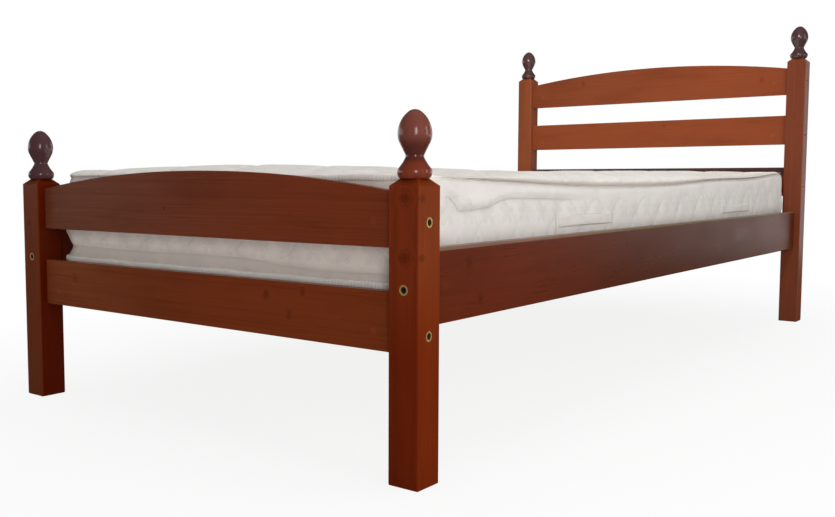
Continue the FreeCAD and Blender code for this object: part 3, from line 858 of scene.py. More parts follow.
def gap_to_quilting(across, along, waves):
    """Distance to the quilting, whose lines swing apart and together by turns."""
    spacing, swing, length, shift = waves
    one = gap_to_waves(across, along, spacing, swing, length)
    other = gap_to_waves(across - shift, along, spacing, -swing, length)
    return np.minimum(one, other)


def gathered(items, field, kind=float, width=1):
    """A field of all of a mesh's elements as one array, with a row for each element."""
    flat = np.empty(len(items) * width, kind)
    items.foreach_get(field, flat)
    return flat.reshape(-1, width) if width > 1 else flat


def points_of(mesh):
    return gathered(mesh.vertices, "co", width=3)


def set_points(mesh, points):
    mesh.vertices.foreach_set("co", points.ravel())
    mesh.update()


def normals_of(mesh):
    return gathered(mesh.vertex_normals, "vector", np.float32, 3).astype(float)


def to_mesh(name, bm):
    """A mesh, shaded smooth, from a bmesh that is then freed."""
    for face in bm.faces:
        face.smooth = True
    mesh = bpy.data.meshes.new(name)
    bm.to_mesh(mesh)
    bm.free()
    return mesh


def shown(name, mesh):
    """A mesh placed in the scene as an object at the origin."""
    piece = bpy.data.objects.new(name, mesh)
    bpy.context.scene.collection.objects.link(piece)
    return piece


def wall_rows(turn, settings):
    """Inset and height of each row of the wall, from the top panel's edge to the underside's.

    The roll curls in over the top seam by a turn, and the border swells out again under it.
    """
    rows = []
    edge = CROWN - DOME_RISE - settings.swell
    roll = ROLL_REACH - ROLL_INSET
    for k in range(ROLL_ROWS):
        curl = turn * (1 - (1 - k / ROLL_ROWS) ** 1.4)
        share = (math.cos(curl) - math.cos(turn)) / (1 - math.cos(turn))
        rows.append((ROLL_REACH - roll * math.sin(curl), SEAM_TOP + (edge - SEAM_TOP) * share))
    seam_inset = ROLL_REACH - roll * math.sin(turn)
    for k in range(LEDGE_ROWS):
        curl = math.pi / 2 * k / LEDGE_ROWS
        inset = seam_inset - (seam_inset - BORDER_INSET) * math.sin(curl)
        rows.append((inset, SEAM_TOP - LEDGE_DROP * (1 - math.cos(curl))))
    ledge = SEAM_TOP - LEDGE_DROP
    for k in range(FACE_ROWS):
        share = k / FACE_ROWS
        tucked = BOTTOM_SEAM_INSET * smooth_step(0.5, 0.9, share)
        rows.append((BORDER_INSET + tucked, ledge + (SEAM_BOTTOM - ledge) * share))
    for k in range(UNDER_ROWS + 1):
        curl = math.pi / 2 * k / UNDER_ROWS
        inset = BOTTOM_SEAM_INSET + (ROLL_REACH - BOTTOM_SEAM_INSET) * (1 - math.cos(curl))
        rows.append((inset, SEAM_BOTTOM - (SEAM_BOTTOM - SOLE) * math.sin(curl)))
    return np.array(rows).T


def tightness(y):
    """How tightly the roll is drawn in over the top seam: slack at the foot, tight from there on."""
    return FOOT_TIGHTNESS + (1 - FOOT_TIGHTNESS) * smooth_step(*TIGHTENING, y)


def panel_box():
    """Two flat panels as grids, joined by a wall that is divided into rows."""
    width, length = HALF_WIDTH - ROLL_REACH, HALF_LENGTH - ROLL_REACH
    bm = bmesh.new()
    for height in (0, 1):
        place = Matrix.Translation((0, 0, height)) @ Matrix.Diagonal((width, length, 1, 1))
        bmesh.ops.create_grid(bm, x_segments=PANEL_CELLS[0], y_segments=PANEL_CELLS[1], size=1, matrix=place)
    bmesh.ops.bridge_loops(bm, edges=[edge for edge in bm.edges if edge.is_boundary])
    uprights = [edge for edge in bm.edges if edge.verts[0].co.z != edge.verts[1].co.z]
    bmesh.ops.subdivide_edges(bm, edges=uprights, cuts=WALL_ROWS - 1, use_grid_fill=True)
    bmesh.ops.recalc_face_normals(bm, faces=bm.faces)
    for face in bm.faces:
        row = (1 - face.calc_center_median().z) * WALL_ROWS
        face.material_index = UNDERSIDE
        if row < ROLL_ROWS + BORDER_ROWS:
            face.material_index = TOP if row < ROLL_ROWS else BORDER
    return to_mesh("mattress_cover", bm)


def form_cover(mesh, settings):
    """Gives the flat box the mattress's form, and a map in metres of where each point lies on its cloth."""
    flat = points_of(mesh)
    row = np.rint((1 - flat[:, 2]) * WALL_ROWS).astype(int)
    panel = panel_outline(settings)
    cover = cover_outline(settings)
    x, y = panel.rounded(flat[:, 0], flat[:, 1])
    way_x, way_y = panel.outward(x, y)
    slack, tight = wall_rows(SLACK_TURN, settings), wall_rows(TIGHT_TURN, settings)
    lengths = np.concatenate(([0], np.cumsum(np.hypot(*np.diff(tight, axis=1)))))
    insets, levels = slack[:, row] + (tight - slack)[:, row] * tightness(y)
    on_roll = row <= ROLL_ROWS
    at_corner = 2 * np.abs(way_x * way_y)
    for level, spread, bulge in CORNER_BULGES:
        insets -= bulge * at_corner * np.exp(-(((levels - level) / spread) ** 2)) * ~on_roll
    insets += CORNER_TUCK * at_corner * smooth_step(SEAM_TOP - 0.05, SEAM_TOP, levels)
    step = ROLL_REACH - insets
    wall_x, wall_y = x + way_x * step, y + way_y * step
    edge = slack[1, 0]
    falls = np.where(on_roll, (edge - levels) / (edge - SEAM_TOP), (levels - SOLE) / (SEAM_TOP - SOLE))
    dome = DOME_RISE * smooth_step(0, DOME_REACH, panel.inset(x, y)) * (row == 0)
    heave = settings.lift / 2 * smooth_step(0.5, 1.0, y) - TOP_TILT * x / HALF_WIDTH
    for height, middle_x, reach_x, middle_y, reach_y in MOUNDS:
        heave += height * np.exp(-(((x - middle_x) / reach_x) ** 2) - ((y - middle_y) / reach_y) ** 2)
    z = levels + dome + heave * (1 - falls) * on_roll + seam_dip(wall_x, wall_y, settings) * falls
    set_points(mesh, np.column_stack((wall_x, wall_y, z)))
    under = row > ROLL_ROWS + BORDER_ROWS
    spread = np.where(under, lengths[-1] - lengths[row], lengths[row])
    panel_map = np.column_stack((x + way_x * spread, y + way_y * spread))
    run = cover.run(x + way_x * ROLL_REACH, y + way_y * ROLL_REACH)
    border_map = np.column_stack((run, levels))
    lay_map(mesh, panel_map, border_map, cover.length())


def lay_map(mesh, panel_map, border_map, around):
    """Writes the cloth map: plan places on the panels, run and height on the border."""
    layer = mesh.uv_layers.new(name="cloth")
    for face in mesh.polygons:
        corners = list(face.vertices)
        places = (border_map if face.material_index == BORDER else panel_map)[corners].copy()
        if face.material_index == BORDER and np.ptp(places[:, 0]) > around / 2:
            places[places[:, 0] < around / 2, 0] += around
        for loop, place in zip(face.loop_indices, places):
            layer.data[loop].uv = place


class ClothPlaces:
    """For each vertex of the cover the panels that it touches and its place on the cloth map."""

    def __init__(self, mesh):
        uv = gathered(mesh.uv_layers["cloth"].data, "uv", width=2)
        vertex = gathered(mesh.loops, "vertex_index", int)
        sizes = gathered(mesh.polygons, "loop_total", int)
        touched = np.repeat(gathered(mesh.polygons, "material_index", int), sizes)
        self.first = np.full(len(mesh.vertices), UNDERSIDE)
        self.last = np.zeros(len(mesh.vertices), int)
        np.minimum.at(self.first, vertex, touched)
        np.maximum.at(self.last, vertex, touched)
        self.panel = np.zeros(len(mesh.vertices), int)
        self.place = np.zeros((len(mesh.vertices), 2))
        order = np.argsort(touched == BORDER, kind="stable")
        self.place[vertex[order]] = uv[order]
        self.panel[vertex[order]] = touched[order]

    def seam(self, panel):
        """The vertices between a panel and the border."""
        return (self.first == min(panel, BORDER)) & (self.last == max(panel, BORDER))

    def quilting(self, settings):
        """Distance of each vertex from the quilting of its panel, or 1 m on the roll and the underside."""
        u, v = self.place.T
        on_border = gap_to_quilting(v - SEAM_MIDDLE, u, border_waves(settings))
        on_top = gap_to_quilting(u, v, top_waves(settings))
        gap = np.where(self.panel == BORDER, on_border, on_top)
        on_roll = (self.panel == TOP) & (panel_outline(settings).inset(u, v) < 0)
        gap[on_roll | (self.panel == UNDERSIDE)] = 1
        return gap


def seam_rise(points, settings):
    """How far points lie above the top seam, and which of them are on the roll or the wall."""
    x, y, z = points.T
    on_wall = cover_outline(settings).inset(x, y) < ROLL_REACH - MM
    return z - SEAM_TOP - seam_dip(x, y, settings), on_wall


def as_evaluated(piece):
    """A mesh of a piece as its modifiers leave it."""
    return bpy.data.meshes.new_from_object(piece.evaluated_get(bpy.context.evaluated_depsgraph_get()))


def swell_cover(piece, settings):
    """Lets the fill press the cover out between its stitches, and keeps each point within the swell."""
    mesh = piece.data
    start = points_of(mesh)
    cloth_places = ClothPlaces(mesh)
    held = 1 - smooth_step(*STITCH_HOLD, cloth_places.quilting(settings))
    from_seam, on_wall = seam_rise(start, settings)
    held = np.maximum(held, on_wall * (1 - smooth_step(*SEAM_HOLD, np.abs(from_seam))))
    held[cloth_places.first != cloth_places.last] = 1
    held[cloth_places.panel == UNDERSIDE] = 1
    stitched = piece.vertex_groups.new(name="stitched")
    for index in np.nonzero(held > LEAST_HOLD)[0]:
        stitched.add([int(index)], float(held[index]), "REPLACE")
    cloth = piece.modifiers.new("cloth", "CLOTH")
    for name, value in CLOTH_SETTINGS.items():
        setattr(cloth.settings, name, value)
    cloth.settings.vertex_group_mass = stitched.name
    cloth.settings.effector_weights.gravity = 0
    cloth.collision_settings.use_collision = False
    cloth.point_cache.frame_start = 1
    cloth.point_cache.frame_end = CLOTH_FRAMES
    for number in range(1, CLOTH_FRAMES + 1):
        bpy.context.scene.frame_set(number)
    swollen = as_evaluated(piece)
    moved = points_of(swollen) - start
    piece.modifiers.remove(cloth)
    piece.vertex_groups.remove(stitched)
    bpy.context.scene.frame_set(1)
    bpy.data.meshes.remove(swollen)
    reach = np.maximum(np.linalg.norm(moved, axis=1), 1e-9)
    held_back = np.where(cloth_places.panel == BORDER, BORDER_SWELL_SHARE, 1.0)
    capped = settings.swell * np.tanh(reach / settings.swell) * held_back
    set_points(mesh, start + moved * (capped / reach)[:, None])


def divide_once(piece):
    """One subdivision, applied to the mesh."""
    divided = piece.modifiers.new("divided", "SUBSURF")
    divided.levels = divided.render_levels = 1
    divided.uv_smooth = "NONE"
    mesh = as_evaluated(piece)
    piece.modifiers.remove(divided)
    old = piece.data
    piece.data = mesh
    bpy.data.meshes.remove(old)
    mesh.name = piece.name


def draw_stitches(mesh, settings):
    """Draws the cover in along its stitches and folds it where it hangs loose, and notes where it did so."""
    places = ClothPlaces(mesh)
    border = places.panel == BORDER
    x, y, z = points_of(mesh).T
    depth = settings.stitch_depth * np.where(border, BORDER_STITCH_SHARE, 1.0)
    rise = -depth * np.exp(-((places.quilting(settings) / STITCH_REACH) ** 2))
    on_side = border & (x > SIDE_X) & (y > SIDE_FOOT_Y)
    on_foot = border & (y < FOOT_END_Y)
    past = np.where(on_side, z - np.interp(y, *zip(*SIDE_FOLD)), z - np.interp(x, *zip(*FOOT_FOLD)))
    side_loose = smooth_step(*LOOSE_FROM, y) * (1 - smooth_step(*LOOSE_UNTIL, y)) * on_side
    foot_loose = smooth_step(*LOOSE_FOOT, np.abs(x)) * on_foot
    loose = side_loose + FOOT_FOLD_SHARE * foot_loose
    lip, hollow = (np.exp(-(((past - middle) / spread) ** 2)) for middle, spread in (LIP, HOLLOW))
    rise += FOLD_DEPTH * loose * (lip - hollow)
    from_seam, on_wall = seam_rise(points_of(mesh), settings)
    from_seam[~on_wall | (places.panel == UNDERSIDE)] = 1
    values_by_name = {
        "fold_rise": past, "fold_loose": loose, "fold_under": foot_loose, "seam_rise": from_seam,
        "seam_shade_share": FOOT_SEAM_SHADE + (1 - FOOT_SEAM_SHADE) * smooth_step(*SEAM_DEEPENING, y)}
    for name, values in values_by_name.items():
        mesh.attributes.new(name, "FLOAT", "POINT").data.foreach_set("value", values.astype(np.float32))
    run = places.place[:, 0]
    near_tape = np.minimum(np.abs(z - SEAM_TOP), np.abs(z - SEAM_BOTTOM))
    gathers = np.sin(run * 190 + 3 * np.sin(run * 31)) * np.sin(run * 7.3 + 1.0) ** 2
    rise += GATHER_DEPTH * gathers * np.exp(-near_tape / GATHER_REACH) * border
    rise[places.first != places.last] = 0
    set_points(mesh, points_of(mesh) + normals_of(mesh) * rise[:, None])


class BED_OT_cover(bpy.types.Operator):
    """Make the quilted mattress cover"""

    bl_idname = "bed.cover"
    bl_label = "Mattress Cover"

    def execute(self, context):
        settings = context.scene.bed_mattress
        mesh = panel_box()
        form_cover(mesh, settings)
        piece = shown("mattress_cover", mesh)
        swell_cover(piece, settings)
        divide_once(piece)
        draw_stitches(piece.data, settings)
        for material in (quilted_top(settings), quilted_border(settings), plain_underside(settings)):
            piece.data.materials.append(material)
        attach(piece, "mattress")
        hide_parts("mattress")
        return {"FINISHED"}


def seam_ring(mesh, panel):
    """The points of a seam of the cover in order round the mattress, with how far round each one lies."""
    places = ClothPlaces(mesh)
    chosen = places.seam(panel)
    run = places.place[chosen, 0]
    order = np.argsort(run)
    return run[order], points_of(mesh)[chosen][order]


def tube(name, around, sides):
    """A closed tube as a mesh, with the turn round the ring and the turn round the tube at each vertex."""
    bm = bmesh.new()
    bmesh.ops.create_cone(bm, cap_ends=False, segments=around, radius1=1, radius2=1, depth=2)
    uprights = [edge for edge in bm.edges if abs(edge.verts[0].co.z - edge.verts[1].co.z) > 1]
    bmesh.ops.subdivide_edges(bm, edges=uprights, cuts=sides - 2, use_grid_fill=True)
    bmesh.ops.bridge_loops(bm, edges=[edge for edge in bm.edges if edge.is_boundary])
    mesh = to_mesh(name, bm)
    x, y, z = points_of(mesh).T
    ring = np.rint(np.mod(np.arctan2(y, x) / (2 * math.pi), 1) * around) % around
    side = np.rint((z + 1) / 2 * (sides - 1))
    return mesh, ring / around, side / sides * 2 * math.pi


def binding(name, cover, panel, settings):
    """A tape folded over a seam of the cover, gathered into ribs."""
    outline = cover_outline(settings)
    length = outline.length()
    ribs = round(length / RIB_PITCH)
    mesh, ring, turn = tube(name, ribs * RIB_STEPS, TAPE_SIDES)
    run, seam = seam_ring(cover.data, panel)
    place = ring * length
    x, y, z = (np.interp(place, run, seam[:, i], period=length) for i in range(3))
    way_x, way_y = outline.outward(x, y)
    corner = smooth_step(*NEAR_CORNER, np.hypot(np.abs(x) - HALF_WIDTH, np.abs(y) - HALF_LENGTH))
    foot = smooth_step(*AT_FOOT_END, y)
    pucker = (0.25 + 0.75 * np.maximum(corner, foot)) * (0.7 + 0.3 * np.sin(place * 23))
    rib = np.sin(2 * math.pi * ribs * ring + 0.5 * np.sin(place * 17)) * pucker
    broad = foot * smooth_step(*BROAD_START, x) if panel == TOP else 1.0
    slim = SLIM_SHARE + (1 - SLIM_SHARE) * broad
    stand_out = TOP_TAPE_OUT + BROAD_TAPE_OUT * broad if panel == TOP else BOTTOM_TAPE_OUT
    out = stand_out + (TAPE_DEPTH + RIB_DEPTH * rib) * slim * np.cos(turn)
    wander = TAPE_WANDER * np.sin(place * 41) * pucker
    up = ((TAPE_HEIGHT + RIB_HEIGHT * rib) * np.sin(turn) + wander) * slim
    up -= BOTTOM_TAPE_DROP * foot if panel == UNDERSIDE else 0
    set_points(mesh, np.column_stack((x + way_x * out, y + way_y * out, z + up)))
    bm = bmesh.new()
    bm.from_mesh(mesh)
    bmesh.ops.recalc_face_normals(bm, faces=bm.faces)
    bm.to_mesh(mesh)
    bm.free()
    return shown(name, mesh)


class BED_OT_bindings(bpy.types.Operator):
    """Sew the bindings over the top and bottom seams"""

    bl_idname = "bed.bindings"
    bl_label = "Seam Bindings"

    def execute(self, context):
        settings = context.scene.bed_mattress
        cover = bpy.data.objects["mattress_cover"]
        material = tape_material("edge_tape", settings)
        for name, panel, node in (("mattress_top_binding", TOP, "mattress_top_tape"),
                                  ("mattress_bottom_binding", UNDERSIDE, "mattress_bottom_tape")):
            piece = binding(name, cover, panel, settings)
            piece.data.materials.append(material)
            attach(piece, "mattress")
            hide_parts(node)
        return {"FINISHED"}


def strap(name, cover, side, middle, settings):
    """A webbing handle sewn down at both ends, lying on the border of one long side."""
    half, rise = settings.handle_length / 2, settings.handle_width / 2
    bm = bmesh.new()
    bmesh.ops.create_grid(bm, x_segments=WEBBING_CELLS[0], y_segments=WEBBING_CELLS[1], size=1,
                          matrix=Matrix.Diagonal((half, rise, 1, 1)))
    layer = bm.loops.layers.uv.new("cloth")
    for face in bm.faces:
        for loop in face.loops:
            loop[layer].uv = loop.vert.co.xy
    for vert in bm.verts:
        along, across = vert.co.x, vert.co.y
        free = float(smooth_step(0.0, FREE_RAMP, half - SEWN_END - abs(along)))
        across *= 1 - WEBBING_WAIST * free
        above = Vector((side, middle + along, SEAM_MIDDLE + across))
        hit, spot, normal = cover.ray_cast(above, Vector((-side, 0, 0)))[:3]
        if not hit:
            raise RuntimeError(f"{name} misses the cover")
        crown = 1 - WEBBING_CROWN * (across / rise) ** 2
        vert.co = spot + normal * (WEBBING_GAP + WEBBING_LIFT * free * crown)
    bmesh.ops.recalc_face_normals(bm, faces=bm.faces)
    if sum(face.normal.x for face in bm.faces) * side < 0:
        bmesh.ops.reverse_faces(bm, faces=bm.faces)
    bmesh.ops.solidify(bm, geom=bm.faces[:], thickness=settings.handle_thickness)
    bmesh.ops.recalc_face_normals(bm, faces=bm.faces)
    return to_mesh(name, bm)


class BED_OT_handles(bpy.types.Operator):
    """Sew webbing handles to both long sides"""

    bl_idname = "bed.handles"
    bl_label = "Handles"

    def execute(self, context):
        settings = context.scene.bed_mattress
        cover = bpy.data.objects["mattress_cover"]
        context.view_layer.update()
        material = webbing_material("handle_webbing", settings)
        for side_name, side in (("left", -1), ("right", 1)):
            for end_name, end in (("foot", -1), ("head", 1)):
                middle = settings.handle_shift + end * settings.handle_place
                name = f"mattress_handle_{end_name}_{side_name}"
                piece = shown(name, strap(name, cover, side, middle, settings))
                piece.data.materials.append(material)
                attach(piece, "mattress")
        return {"FINISHED"}


def cloth_map(nodes):
    return nodes.add("ShaderNodeUVMap", (), uv_map="cloth")


def wave_gap(name):
    """Distance of a place on the cloth map from the nearest of a row of waved lines."""
    inputs = {"Across": 0.0, "Along": 0.0, "Spacing": 1.0, "Swing": 0.0, "Length": 1.0}
    tree, n, source, target = node_group(name, inputs, ("Gap",))
    angle = n.math("DIVIDE", n.times(source["Along"], 2 * math.pi), source["Length"])
    wave = n.times(source["Swing"], n.math("SINE", angle))
    steep = n.math("DIVIDE", n.times(source["Swing"], 2 * math.pi), source["Length"])
    slope = n.times(steep, n.math("COSINE", angle))
    half_spacing = n.math("DIVIDE", source["Spacing"], 2)
    away = n.math("PINGPONG", n.minus(source["Across"], wave), half_spacing)
    lean = n.math("SQRT", n.times_plus(slope, slope, 1.0))
    n.wire(target, {"Gap": n.math("DIVIDE", away, lean)})
    return tree


def leaf_motif(name):
    """Leaves woven into the cloth, in staggered rows. The vector is the cloth map in metres."""
    tree, n, source, target = node_group(name, {"Vector": VECTOR, "Size": MOTIF_SIZE}, ("Mask",))
    u, v = n.split(n.vector("DIVIDE", source["Vector"], source["Size"]))[:2]
    row = n.math("FLOOR", v)
    shifted = n.times_plus(n.math("MODULO", n.absolute(row), 2.0), 0.5, u)
    across = n.minus(n.math("FRACT", shifted), 0.5)
    along = n.minus(n.math("FRACT", v), 0.5)
    reach = n.hypot(across, along)
    petal = n.absolute(n.math("COSINE", n.times(n.math("ARCTAN2", across, along), 2.5)))
    edge = n.times_plus(petal, 0.26, 0.14)
    veined = n.times_plus(n.math("SINE", n.times(reach, 60.0)), 0.22, 0.78)
    n.wire(target, {"Mask": n.times(n.ramp(n.minus(edge, reach), 0.0, 0.05), veined)})
    return tree


def cloth_weave(name):
    """Fine threads of a plain weave, and the slow unevenness of washed cotton."""
    inputs = {"Vector": VECTOR, "Pitch": THREAD_PITCH}
    tree, n, source, target = node_group(name, inputs, ("Threads", "Uneven", "Crumple"))
    vector = source["Vector"]
    u, v = n.split(n.vector("DIVIDE", vector, source["Pitch"]))[:2]
    warp = n.math("SINE", n.times(u, 2 * math.pi))
    weft = n.math("SINE", n.times(v, 2 * math.pi))
    n.wire(target, {
        "Threads": n.times_plus(n.times(warp, weft), 0.5, 0.5),
        "Uneven": n.noise(vector, (14, 14, 14), detail=3.0, roughness=0.6),
        "Crumple": n.noise(vector, (55, 38, 55), distortion=0.8),
    })
    return tree


def stitch_line(name):
    """A row of thread stitches along a line: the thread itself and the dimple round it."""
    inputs = {"Gap": 1.0, "Along": 0.0, "Pitch": QUILT_STITCH}
    tree, n, source, target = node_group(name, inputs, ("Thread", "Dimple"))
    step = n.math("FRACT", n.math("DIVIDE", source["Along"], source["Pitch"]))
    dash = n.times(n.ramp(step, 0.08, 0.2), n.ramp(step, 0.8, 0.92, 1.0, 0.0))
    n.wire(target, {
        "Thread": n.times(n.ramp(source["Gap"], 0.0004, 0.0009, 1.0, 0.0), dash),
        "Dimple": n.ramp(source["Gap"], 0.0, 0.005, 1.0, 0.0),
    })
    return tree


def fold_shade(name):
    """A crease of loose cloth: its step, and the shadow in its corner."""
    tree, n, source, target = node_group(name, {"Rise": 1.0, "Loose": 0.0}, ("Height", "Shadow"))
    rise, loose = source["Rise"], source["Loose"]
    corner = n.times(n.ramp(rise, -0.005, -0.0005), n.ramp(rise, -0.0005, 0.0012, 1.0, 0.0))
    n.wire(target, {
        "Height": n.times(n.ramp(rise, -0.0015, 0.003), loose),
        "Shadow": n.times(corner, loose),
    })
    return tree


def seam_shade(name):
    """The dark line of a sunk seam, and the shade under the roll above it."""
    tree, n, source, target = node_group(name, {"Rise": 1.0}, ("Shadow",))
    rise = source["Rise"]
    line = n.ramp(n.absolute(rise), 0.0005, 0.0034, 0.30, 0.0)
    under = n.times(n.ramp(rise, 0.0, 0.012, 0.24, 0.0), n.ramp(rise, -0.0006, 0.0006))
    n.wire(target, {"Shadow": n.math("MAXIMUM", line, under)})
    return tree


def own_value(nodes, name):
    """A value that the mesh itself carries."""
    return nodes.add("ShaderNodeAttribute", (), "Fac", attribute_name=name)


def cloth_surface(nodes, shader, colour, roughness, relief, sheen):
    """Feeds a shader as cloth, with hardly any shine."""
    nodes.wire(shader, {
        "Base Color": colour, "Roughness": roughness, "Normal": relief, "Specular IOR Level": CLOTH_GLOSS,
        "Sheen Weight": sheen})


def loose_border(n, settings, vector, colour, height):
    """Colour and height of the border's cloth with its sewn joint and its creases, the painted shadow in the
    creases and the painted shade under the foot's crease, and painted warm bounce light on its foot end.
    """
    run, level = n.split(vector)[:2]
    joint = n.absolute(n.minus(run, BORDER_JOINT))
    sewn = n.times(n.ramp(joint, 0.0008, 0.0030, 0.45, 0.0), n.ramp(level, 0.378, 0.392, 1.0, 0.0))
    colour = n.mix(sewn, colour, darker(settings.ticking, 0.5))
    height = n.times_plus(sewn, -3.0, height)
    rise = own_value(n, "fold_rise")
    fold = n.group(shared(fold_shade), {"Rise": rise, "Loose": own_value(n, "fold_loose")})
    colour = n.mix(n.times(fold["Shadow"], 0.34), colour, darker(settings.ticking, 0.45))
    height = n.times_plus(fold["Height"], 1.6, height)
    at_foot = own_value(n, "fold_under")
    # Painted shade on the cloth under the foot end's crease
    shade_below_crease = n.times(n.ramp(rise, -0.004, 0.0, 0.25, 0.0), at_foot)
    colour = n.mix(shade_below_crease, colour, darker(settings.ticking, 0.5))
    # Painted warm bounce light from the wood on the foot end
    return n.mix(at_foot, colour, opaque(FOOT_BOUNCE_TINT), "MULTIPLY"), height


def ticking_material(name, settings, quilting=None, folded=False, light_and_warmth=EVEN):
    """Woven cotton with leaves in it, which may be quilted, and folded where it is loose.

    Quilting gives the distance to the stitches and the place along them, from a place on the cloth map.
    """
    material, n, shader = new_material(name)
    vector = cloth_map(n)
    weave = n.group(shared(cloth_weave), {"Vector": vector})
    motif = n.group(shared(leaf_motif), {"Vector": vector})["Mask"]
    if quilting is not None:
        from_seam = n.absolute(own_value(n, "seam_rise"))
        motif = n.times(motif, n.ramp(from_seam, 0.010, 0.030))
    # The top's tint lightens and warms it, partly as painted light
    woven = n.mix(n.times(motif, 0.42), opaque(settings.ticking, light_and_warmth), opaque(settings.motif))
    colour = n.mix(n.ramp(weave["Uneven"], 0.4, 0.75, 0.0, 0.35), woven, opaque(settings.motif))
    height = n.times_plus(motif, 0.25, weave["Crumple"])
    if quilting is not None:
        gap, along = quilting(n, *n.split(vector)[:2])
        stitch = n.group(shared(stitch_line), {"Gap": gap, "Along": along})
        shaded = n.mix(n.times(stitch["Dimple"], 0.14), colour, darker(settings.ticking, 0.6))
        colour = n.mix(stitch["Thread"], shaded, opaque(settings.thread))
        height = n.times_plus(stitch["Dimple"], -0.9, height)
    if folded:
        colour, height = loose_border(n, settings, vector, colour, height)
    if quilting is not None:
        # Painted shade along the top seam, fainter at the foot end
        shadow = n.group(shared(seam_shade), {"Rise": own_value(n, "seam_rise")})["Shadow"]
        sunk = n.times(shadow, own_value(n, "seam_shade_share"))
        colour = n.mix(sunk, colour, opaque(settings.ticking, SEAM_SHADE_TONE))
    height = n.times_plus(weave["Threads"], 0.12, height)
    roughness = n.times_plus(motif, -0.18, 0.85)
    cloth_surface(n, shader, colour, roughness, bump(n, height, 0.5, 0.0012), 0.12)
    return material


def quilting_gap(n, across, along, waves):
    """Distance to the quilting, as a shader works it out."""
    spacing, swing, length, shift = waves
    gaps = []
    for place, way in ((across, swing), (n.minus(across, shift), -swing)):
        feeds = {"Across": place, "Along": along, "Spacing": spacing, "Swing": way, "Length": length}
        gaps.append(n.group(shared(wave_gap), feeds)["Gap"])
    return n.math("MINIMUM", *gaps)


def quilted_top(settings):
    def quilting(n, u, v):
        return quilting_gap(n, u, v, top_waves(settings)), v

    return ticking_material("quilted_top", settings, quilting, light_and_warmth=TOP_LIGHT_AND_WARMTH)


def quilted_border(settings):
    def quilting(n, u, v):
        return quilting_gap(n, n.minus(v, SEAM_MIDDLE), u, border_waves(settings)), u

    return ticking_material("quilted_border", settings, quilting, folded=True)


def plain_underside(settings):
    return ticking_material("plain_underside", settings)


def webbing_material(name, settings):
    """Ribbed webbing, sewn down at both ends with a box of stitches and a cross in it."""
    material, n, shader = new_material(name)
    vector = cloth_map(n)
    u, v = n.split(vector)[:2]
    box_middle, box_rise = settings.handle_length / 2 - SEWN_END / 2, settings.handle_width * 0.38
    from_end = n.absolute(n.minus(n.absolute(u), box_middle))
    off_axis = n.absolute(v)
    box = n.math("MAXIMUM", n.math("DIVIDE", from_end, STITCH_BOX), n.math("DIVIDE", off_axis, box_rise))
    on_box = n.times(n.absolute(n.minus(box, 1.0)), STITCH_BOX)
    cross = n.absolute(n.minus(from_end, off_axis))
    gap = n.math("MINIMUM", on_box, n.math("ADD", n.ramp(box, 0.98, 1.02), cross))
    slanted = n.math("ADD", u, v)
    stitch = n.group(shared(stitch_line), {"Gap": gap, "Along": slanted, "Pitch": WEBBING_STITCH})
    ribs = n.math("SINE", n.times(v, 2 * math.pi / WEBBING_RIB))
    soil = n.noise(vector, (30, 60, 30), detail=3.0)
    dark = darker(settings.ticking, 0.84)
    faded = n.mix(n.ramp(soil, 0.4, 0.75, 0.0, 0.45), opaque(settings.ticking), dark)
    shaded = n.mix(n.times(stitch["Dimple"], 0.3), faded, dark)
    colour = n.mix(stitch["Thread"], shaded, opaque(settings.thread))
    height = n.times_plus(stitch["Dimple"], -0.8, n.times(ribs, 0.35))
    roughness = n.times_plus(ribs, 0.05, 0.75)
    cloth_surface(n, shader, colour, roughness, bump(n, height, 0.5, 0.0008), 0.1)
    return material


def tape_material(name, settings):
    """Ribbed cotton tape."""
    material, n, shader = new_material(name)
    place = object_place(n)
    threads = n.noise(place, (900, 900, 1800))
    soil = n.noise(place, (25, 25, 60), detail=3.0)
    colour = n.mix(n.ramp(soil, 0.4, 0.75, 0.0, 0.4), opaque(settings.tape), darker(settings.tape, 0.80))
    roughness = n.times_plus(threads, 0.2, 0.7)
    cloth_surface(n, shader, colour, roughness, bump(n, threads, 0.4, 0.0006), 0.1)
    return material


# Stage

FLOOR_HALF_WIDTH = 30.0
SENSOR_WIDTH = 36.0
SPOT_RADIUS = 0.25
WHITE = (1, 1, 1, 1)


def area_lamp(name, place, target, size, power, mirrored=True):
    """A soft rectangular lamp that faces a point. It shows in shiny faces only where it is mirrored."""
    lamp = bpy.data.lights.new(name, "AREA")
    lamp.shape = "RECTANGLE"
    lamp.size, lamp.size_y = size
    lamp.energy = power
    hang_lamp(lamp, place, target).visible_glossy = mirrored


def spot_lamp(name, place, target, angle, power):
    """A lamp with a soft-edged beam."""
    lamp = bpy.data.lights.new(name, "SPOT")
    lamp.spot_size = angle
    lamp.spot_blend = 1.0
    lamp.shadow_soft_size = SPOT_RADIUS
    lamp.energy = power
    hang_lamp(lamp, place, target)


def hang_lamp(lamp, place, target):
    """Places a lamp so that it faces a point."""
    holder = bpy.data.objects.new(lamp.name, lamp)
    holder.location = place
    holder.rotation_euler = (Vector(target) - Vector(place)).to_track_quat("-Z", "Y").to_euler()
    bpy.context.scene.collection.objects.link(holder)
    return holder


def seen_directly(path, nodes):
    """1 for rays from the camera and through glass, 0 for those that carry light or mirror images."""
    return nodes.math("MAXIMUM", path["Is Camera Ray"], path["Is Transmission Ray"])


def mirrored_room(nodes, far):
    """What shiny faces show of the room: dim, and pale where its walls are lit."""
    return nodes.ramp(far, 0.0, 1.0, 0.06, 1.0)


